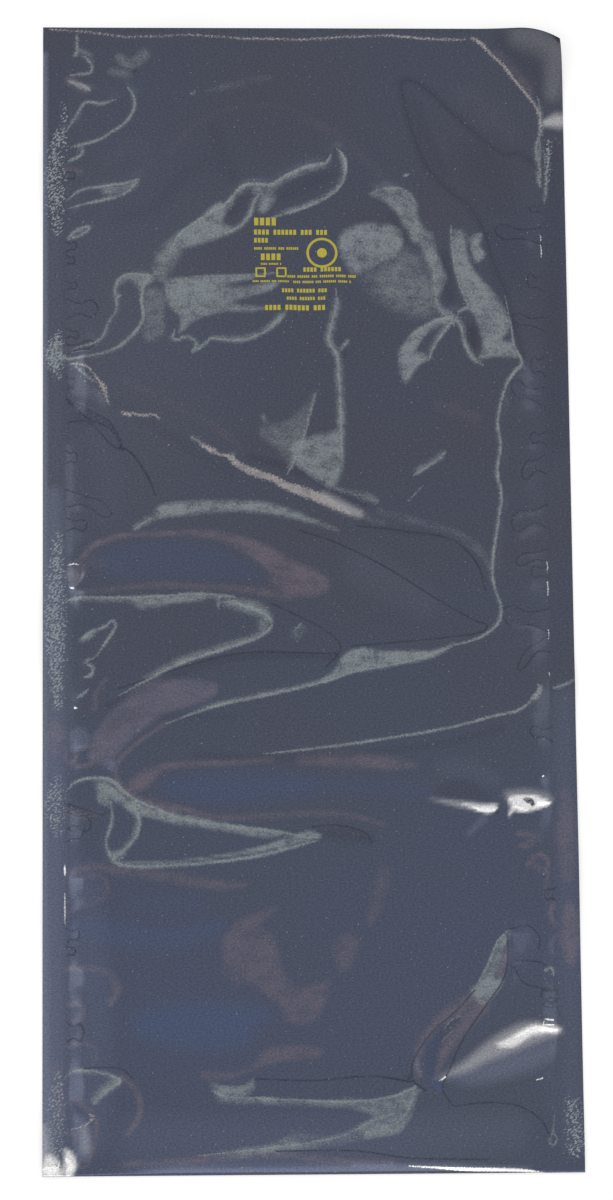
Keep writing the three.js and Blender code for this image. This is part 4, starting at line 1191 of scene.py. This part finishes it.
# %% Film material
def film_material():
    material, nodes, links = new_material("shielding_film")
    web = nodes.new("ShaderNodeUVMap")
    web.uv_map = "web"
    size = nodes.new("ShaderNodeMapping")
    size.inputs["Scale"].default_value = (bag_width, 2 * bag_length, 1)
    links.new(web.outputs[0], size.inputs["Vector"])
    flat_mm = size.outputs[0]

    grain_map = nodes.new("ShaderNodeMapping")
    grain_map.vector_type = "TEXTURE"
    grain_map.inputs["Rotation"].default_value = (0, 0, grain_slant)
    grain_map.inputs["Scale"].default_value = grain_cell
    links.new(flat_mm, grain_map.inputs["Vector"])
    grain = node(nodes, "TexNoise", Scale=1.0, Detail=2.0, Roughness=0.7)
    links.new(grain_map.outputs[0], grain.inputs["Vector"])
    cloud = node(nodes, "TexNoise", Scale=0.05, Detail=3.0, Roughness=0.55)
    links.new(flat_mm, cloud.inputs["Vector"])
    drift = node(nodes, "TexNoise", Scale=0.012, Detail=1.0)
    links.new(flat_mm, drift.inputs["Vector"])

    fibre = node(nodes, "MapRange", From_Min=0.36, From_Max=0.64, To_Min=0.0, To_Max=1.0)
    links.new(grain.outputs["Fac"], fibre.inputs["Value"])
    fibres = fibre.outputs["Result"]
    blotch = node(nodes, "TexNoise", Scale=0.16, Detail=3.0, Roughness=0.6)
    links.new(flat_mm, blotch.inputs["Vector"])
    torn = node(nodes, "MapRange", From_Min=0.34, From_Max=0.56, To_Min=0.65, To_Max=1.1)
    links.new(blotch.outputs["Fac"], torn.inputs["Value"])
    fine = node(nodes, "TexNoise", Scale=0.85, Detail=1.5, Roughness=0.7)
    links.new(flat_mm, fine.inputs["Vector"])
    mottle_low, mottle_high = mottle_range
    mottle = node(nodes, "MapRange", From_Min=0.3, From_Max=0.7, To_Min=mottle_low, To_Max=mottle_high)
    links.new(fine.outputs["Fac"], mottle.inputs["Value"])
    room = node(nodes, "MapRange", From_Min=0.35, From_Max=0.65, To_Min=0.0, To_Max=0.15)
    links.new(drift.outputs["Fac"], room.inputs["Value"])
    patchy = node(nodes, "MapRange", From_Min=0.3, From_Max=0.65, To_Min=0.6, To_Max=1.1)
    links.new(cloud.outputs["Fac"], patchy.inputs["Value"])
    colour = mix_colour(nodes, links, room.outputs["Result"], slate, tint_colours["blue_reflection"])
    # Mixes in the painted highlights, painted reflections and painted shade stored on the film
    for name, tone in tint_colours.items():
        amount = stored(nodes, name)
        if name in frayed_tints:
            gaps = maths(nodes, links, "MULTIPLY", amount, fray_with_tint)
            gaps = maths(nodes, links, "ADD", gaps, fray_everywhere)
            gaps = maths(nodes, links, "MULTIPLY", gaps, fibres)
            amount = maths(nodes, links, "MULTIPLY", amount, patchy.outputs["Result"])
            amount = maths(nodes, links, "MULTIPLY", amount, torn.outputs["Result"])
            amount = maths(nodes, links, "MULTIPLY", amount, tint_strength)
            amount = maths(nodes, links, "SUBTRACT", amount, gaps, clamp=True)
        colour = mix_colour(nodes, links, amount, colour, tone)

    # Mixes in the painted lines of highlight and shade
    for name, tone in line_colours.items():
        ragged = maths(nodes, links, "SUBTRACT", fibres, 0.5)
        ragged = maths(nodes, links, "MULTIPLY", ragged, -line_fray[name])
        away = maths(nodes, links, "ABSOLUTE", stored(nodes, name + "_side"))
        inside_by = maths(nodes, links, "SUBTRACT", stored(nodes, name + "_width"), away)
        inside_by = maths(nodes, links, "ADD", inside_by, ragged)
        core = maths(nodes, links, "MULTIPLY", inside_by, line_sharpness)
        core = maths(nodes, links, "ADD", core, 0.5, clamp=True)
        core = maths(nodes, links, "MULTIPLY", core, patchy.outputs["Result"])
        if name in frayed_lines:
            core = maths(nodes, links, "MULTIPLY", core, torn.outputs["Result"])
        core = maths(nodes, links, "MULTIPLY", core, line_strengths[name], clamp=True)
        colour = mix_colour(nodes, links, core, colour, tone)

    parts = nodes.new("ShaderNodeSeparateXYZ")
    links.new(flat_mm, parts.inputs[0])
    from_middle = maths(nodes, links, "SUBTRACT", parts.outputs["X"], half_bag)
    from_middle = maths(nodes, links, "ABSOLUTE", from_middle)
    on_seal = maths(nodes, links, "GREATER_THAN", from_middle, half_pouch)
    emboss = node(nodes, "TexVoronoi", Scale=1.1, Randomness=0.6)
    links.new(flat_mm, emboss.inputs["Vector"])
    # Painted glints: bright specks of painted highlight, strongest where the seals' specks were drawn
    bright = node(nodes, "TexNoise", Scale=0.8, Detail=1.0)
    links.new(grain_map.outputs[0], bright.inputs["Vector"])
    lit = maths(nodes, links, "MULTIPLY", stored(nodes, "glint_speck"), torn.outputs["Result"])
    lit = maths(nodes, links, "MULTIPLY", lit, speck_lift)
    lit = maths(nodes, links, "ADD", bright.outputs["Fac"], lit)
    faint, full = speck_levels
    specks = node(nodes, "MapRange", From_Min=faint, From_Max=full, To_Min=0.0, To_Max=speck_strength)
    links.new(lit, specks.inputs["Value"])
    colour = mix_colour(nodes, links, specks.outputs["Result"], colour, glint_and_dust_colour)
    dust = node(nodes, "TexVoronoi", Scale=dust_scale)
    links.new(flat_mm, dust.inputs["Vector"])
    size_of_mote = maths(nodes, links, "MULTIPLY", dust.outputs["Color"], dust_size)
    mote = maths(nodes, links, "LESS_THAN", dust.outputs["Distance"], size_of_mote)
    mote = maths(nodes, links, "MULTIPLY", mote, dust_strength)
    colour = mix_colour(nodes, links, mote, colour, glint_and_dust_colour)
    grained = nodes.new("ShaderNodeVectorMath")
    grained.operation = "SCALE"
    links.new(colour, grained.inputs["Vector"])
    links.new(mottle.outputs["Result"], grained.inputs["Scale"])
    colour = grained.outputs["Vector"]

    dents = maths(nodes, links, "MULTIPLY", emboss.outputs["Distance"], on_seal)
    soft_grain = maths(nodes, links, "MULTIPLY", grain.outputs["Fac"], 0.25)
    height = maths(nodes, links, "ADD", soft_grain, dents)
    bump = node(nodes, "Bump", Strength=0.25, Distance=bump_distance)
    links.new(height, bump.inputs["Height"])

    film = nodes.new("ShaderNodeBsdfPrincipled")
    film.inputs["Metallic"].default_value = 0.85
    film.inputs["Coat Weight"].default_value = 0.3
    film.inputs["Coat Roughness"].default_value = 0.12
    worn = node(nodes, "MapRange", To_Min=0.26, To_Max=0.42)
    links.new(stored(nodes, "sheen"), worn.inputs["Value"])
    links.new(worn.outputs["Result"], film.inputs["Roughness"])
    links.new(colour, film.inputs["Base Color"])
    links.new(bump.outputs[0], film.inputs["Normal"])
    output = nodes.new("ShaderNodeOutputMaterial")
    links.new(film.outputs[0], output.inputs["Surface"])
    return material


film_pouch = bpy.data.objects.new("film_pouch", web_mesh)
bpy.context.scene.collection.objects.link(film_pouch)
web_mesh.materials.append(film_material())
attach(film_pouch, "root")
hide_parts("pouch")
print("stored layers of the film:", len(web_mesh.attributes))

# %% [markdown]
# ## The print
#
# The front carries a small block of yellow ink. Ink is only a skin on the film, so each mark is a
# strip of mesh laid on the film's own height. The block is generic: plain bars in the place of its
# lines, a plain ring and two plain squares.

# %% Print
ink_lift = 0.10
ink_thickness = 0.04
ink_step = 1.2
mark_width = 0.56
mark_gap = 0.22
word_gap = 0.7
word_lengths = (4, 6, 3, 7, 5)
pale_ink = (0.48, 0.42, 0.04, 1)
full_ink = (0.72, 0.62, 0.06, 1)
ink_grain = 900.0
# Each line of the block: height up the panel, left end, right end and the height of its marks
print_lines = [
    (197.8, -27.0, -13.0, 4.0), (192.2, -27.0, 13.0, 2.7), (187.8, -27.0, -17.5, 2.5),
    (183.4, -27.0, -3.0, 1.4), (178.8, -23.5, -11.0, 3.6), (174.9, -23.5, -12.0, 1.1),
    (165.2, -28.0, -7.5, 1.1), (171.8, -1.0, 19.5, 2.4), (168.0, -9.5, 27.0, 1.4),
    (165.0, -6.5, 24.5, 1.3), (160.2, -12.5, 13.0, 2.1), (155.9, -10.0, 11.0, 1.8),
    (150.8, -21.5, 12.0, 2.8),
]
print_form = bmesh.new()


def strip(centre, size, turn=0.0):
    """A flat strip of ink, with cells short enough to follow the film."""
    place = Matrix.Translation((*under_sight(*centre), 0)) @ Matrix.Rotation(turn, 4, "Z")
    stretch = Matrix.Diagonal((size[0], size[1], 1, 1))
    bmesh.ops.create_grid(
        print_form,
        x_segments=max(1, round(size[0] / ink_step)),
        y_segments=max(1, round(size[1] / ink_step)),
        size=0.5,
        matrix=place @ stretch,
    )


for y, start, end, height in print_lines:
    x = start
    word = 0
    marks = 0
    while x + mark_width * height < end:
        strip((x + mark_width * height / 2, y), (mark_width * height, height))
        x += (mark_width + mark_gap) * height
        marks += 1
        if marks == word_lengths[word % len(word_lengths)]:
            x += word_gap * height
            word += 1
            marks = 0

ring_centre = (9.0, 181.0)
ring_radius = 7.6
ring_width = 1.3
ring_sides = 40
ring_overlap = 1.02
dot_radius = 2.6
dot_sides = 24
square_centres = ((-23.7, 170.2), (-12.7, 170.2))
square_reach = 2.3
square_bar = (0.9, 5.5)
for i in range(ring_sides):
    angle = 2 * math.pi * i / ring_sides
    centre = (ring_centre[0] + ring_radius * math.cos(angle),
              ring_centre[1] + ring_radius * math.sin(angle))
    side_length = ring_overlap * 2 * ring_radius * math.tan(math.pi / ring_sides)
    strip(centre, (ring_width, side_length), angle)
bmesh.ops.create_circle(
    print_form,
    cap_ends=True,
    segments=dot_sides,
    radius=dot_radius,
    matrix=Matrix.Translation((*under_sight(*ring_centre), 0)),
)
for x, y in square_centres:
    for side in range(4):
        turn = math.radians(90 * side)
        centre = (x + square_reach * math.cos(turn), y + square_reach * math.sin(turn))
        strip(centre, square_bar, turn)


def film_height_at(x, y):
    """The front film's height at a place on the flat panel, between the grid's points."""
    column = (x + half_bag) / across_pitch
    row = (y + half_length) / along_pitch
    i = int(column)
    j = int(row)
    s = column - i
    t = row - j
    near = front_height[j, i] * (1 - s) + front_height[j, i + 1] * s
    far = front_height[j + 1, i] * (1 - s) + front_height[j + 1, i + 1] * s
    return near * (1 - t) + far * t


for vertex in print_form.verts:
    x, y, _ = vertex.co
    vertex.co = Vector((x, y, film_height_at(x, y) + ink_lift)) * MM
print_mesh = bpy.data.meshes.new("ink_marks")
print_form.to_mesh(print_mesh)
print_form.free()
ink_marks = bpy.data.objects.new("ink_marks", print_mesh)
bpy.context.scene.collection.objects.link(ink_marks)
skin = ink_marks.modifiers.new("skin", "SOLIDIFY")
skin.thickness = ink_thickness * MM
skin.offset = -1


def ink_material():
    material, nodes, links = new_material("yellow_ink")
    place = nodes.new("ShaderNodeTexCoord")
    patchy = node(nodes, "TexNoise", Scale=ink_grain, Detail=2.0)
    links.new(place.outputs["Object"], patchy.inputs["Vector"])
    tone = mix_colour(nodes, links, patchy.outputs["Fac"], pale_ink, full_ink)
    ink = nodes.new("ShaderNodeBsdfPrincipled")
    ink.inputs["Roughness"].default_value = 0.45
    links.new(tone, ink.inputs["Base Color"])
    output = nodes.new("ShaderNodeOutputMaterial")
    links.new(ink.outputs[0], output.inputs["Surface"])
    return material


print_mesh.materials.append(ink_material())
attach(ink_marks, "root")
print("ink marks' faces:", len(print_mesh.polygons))
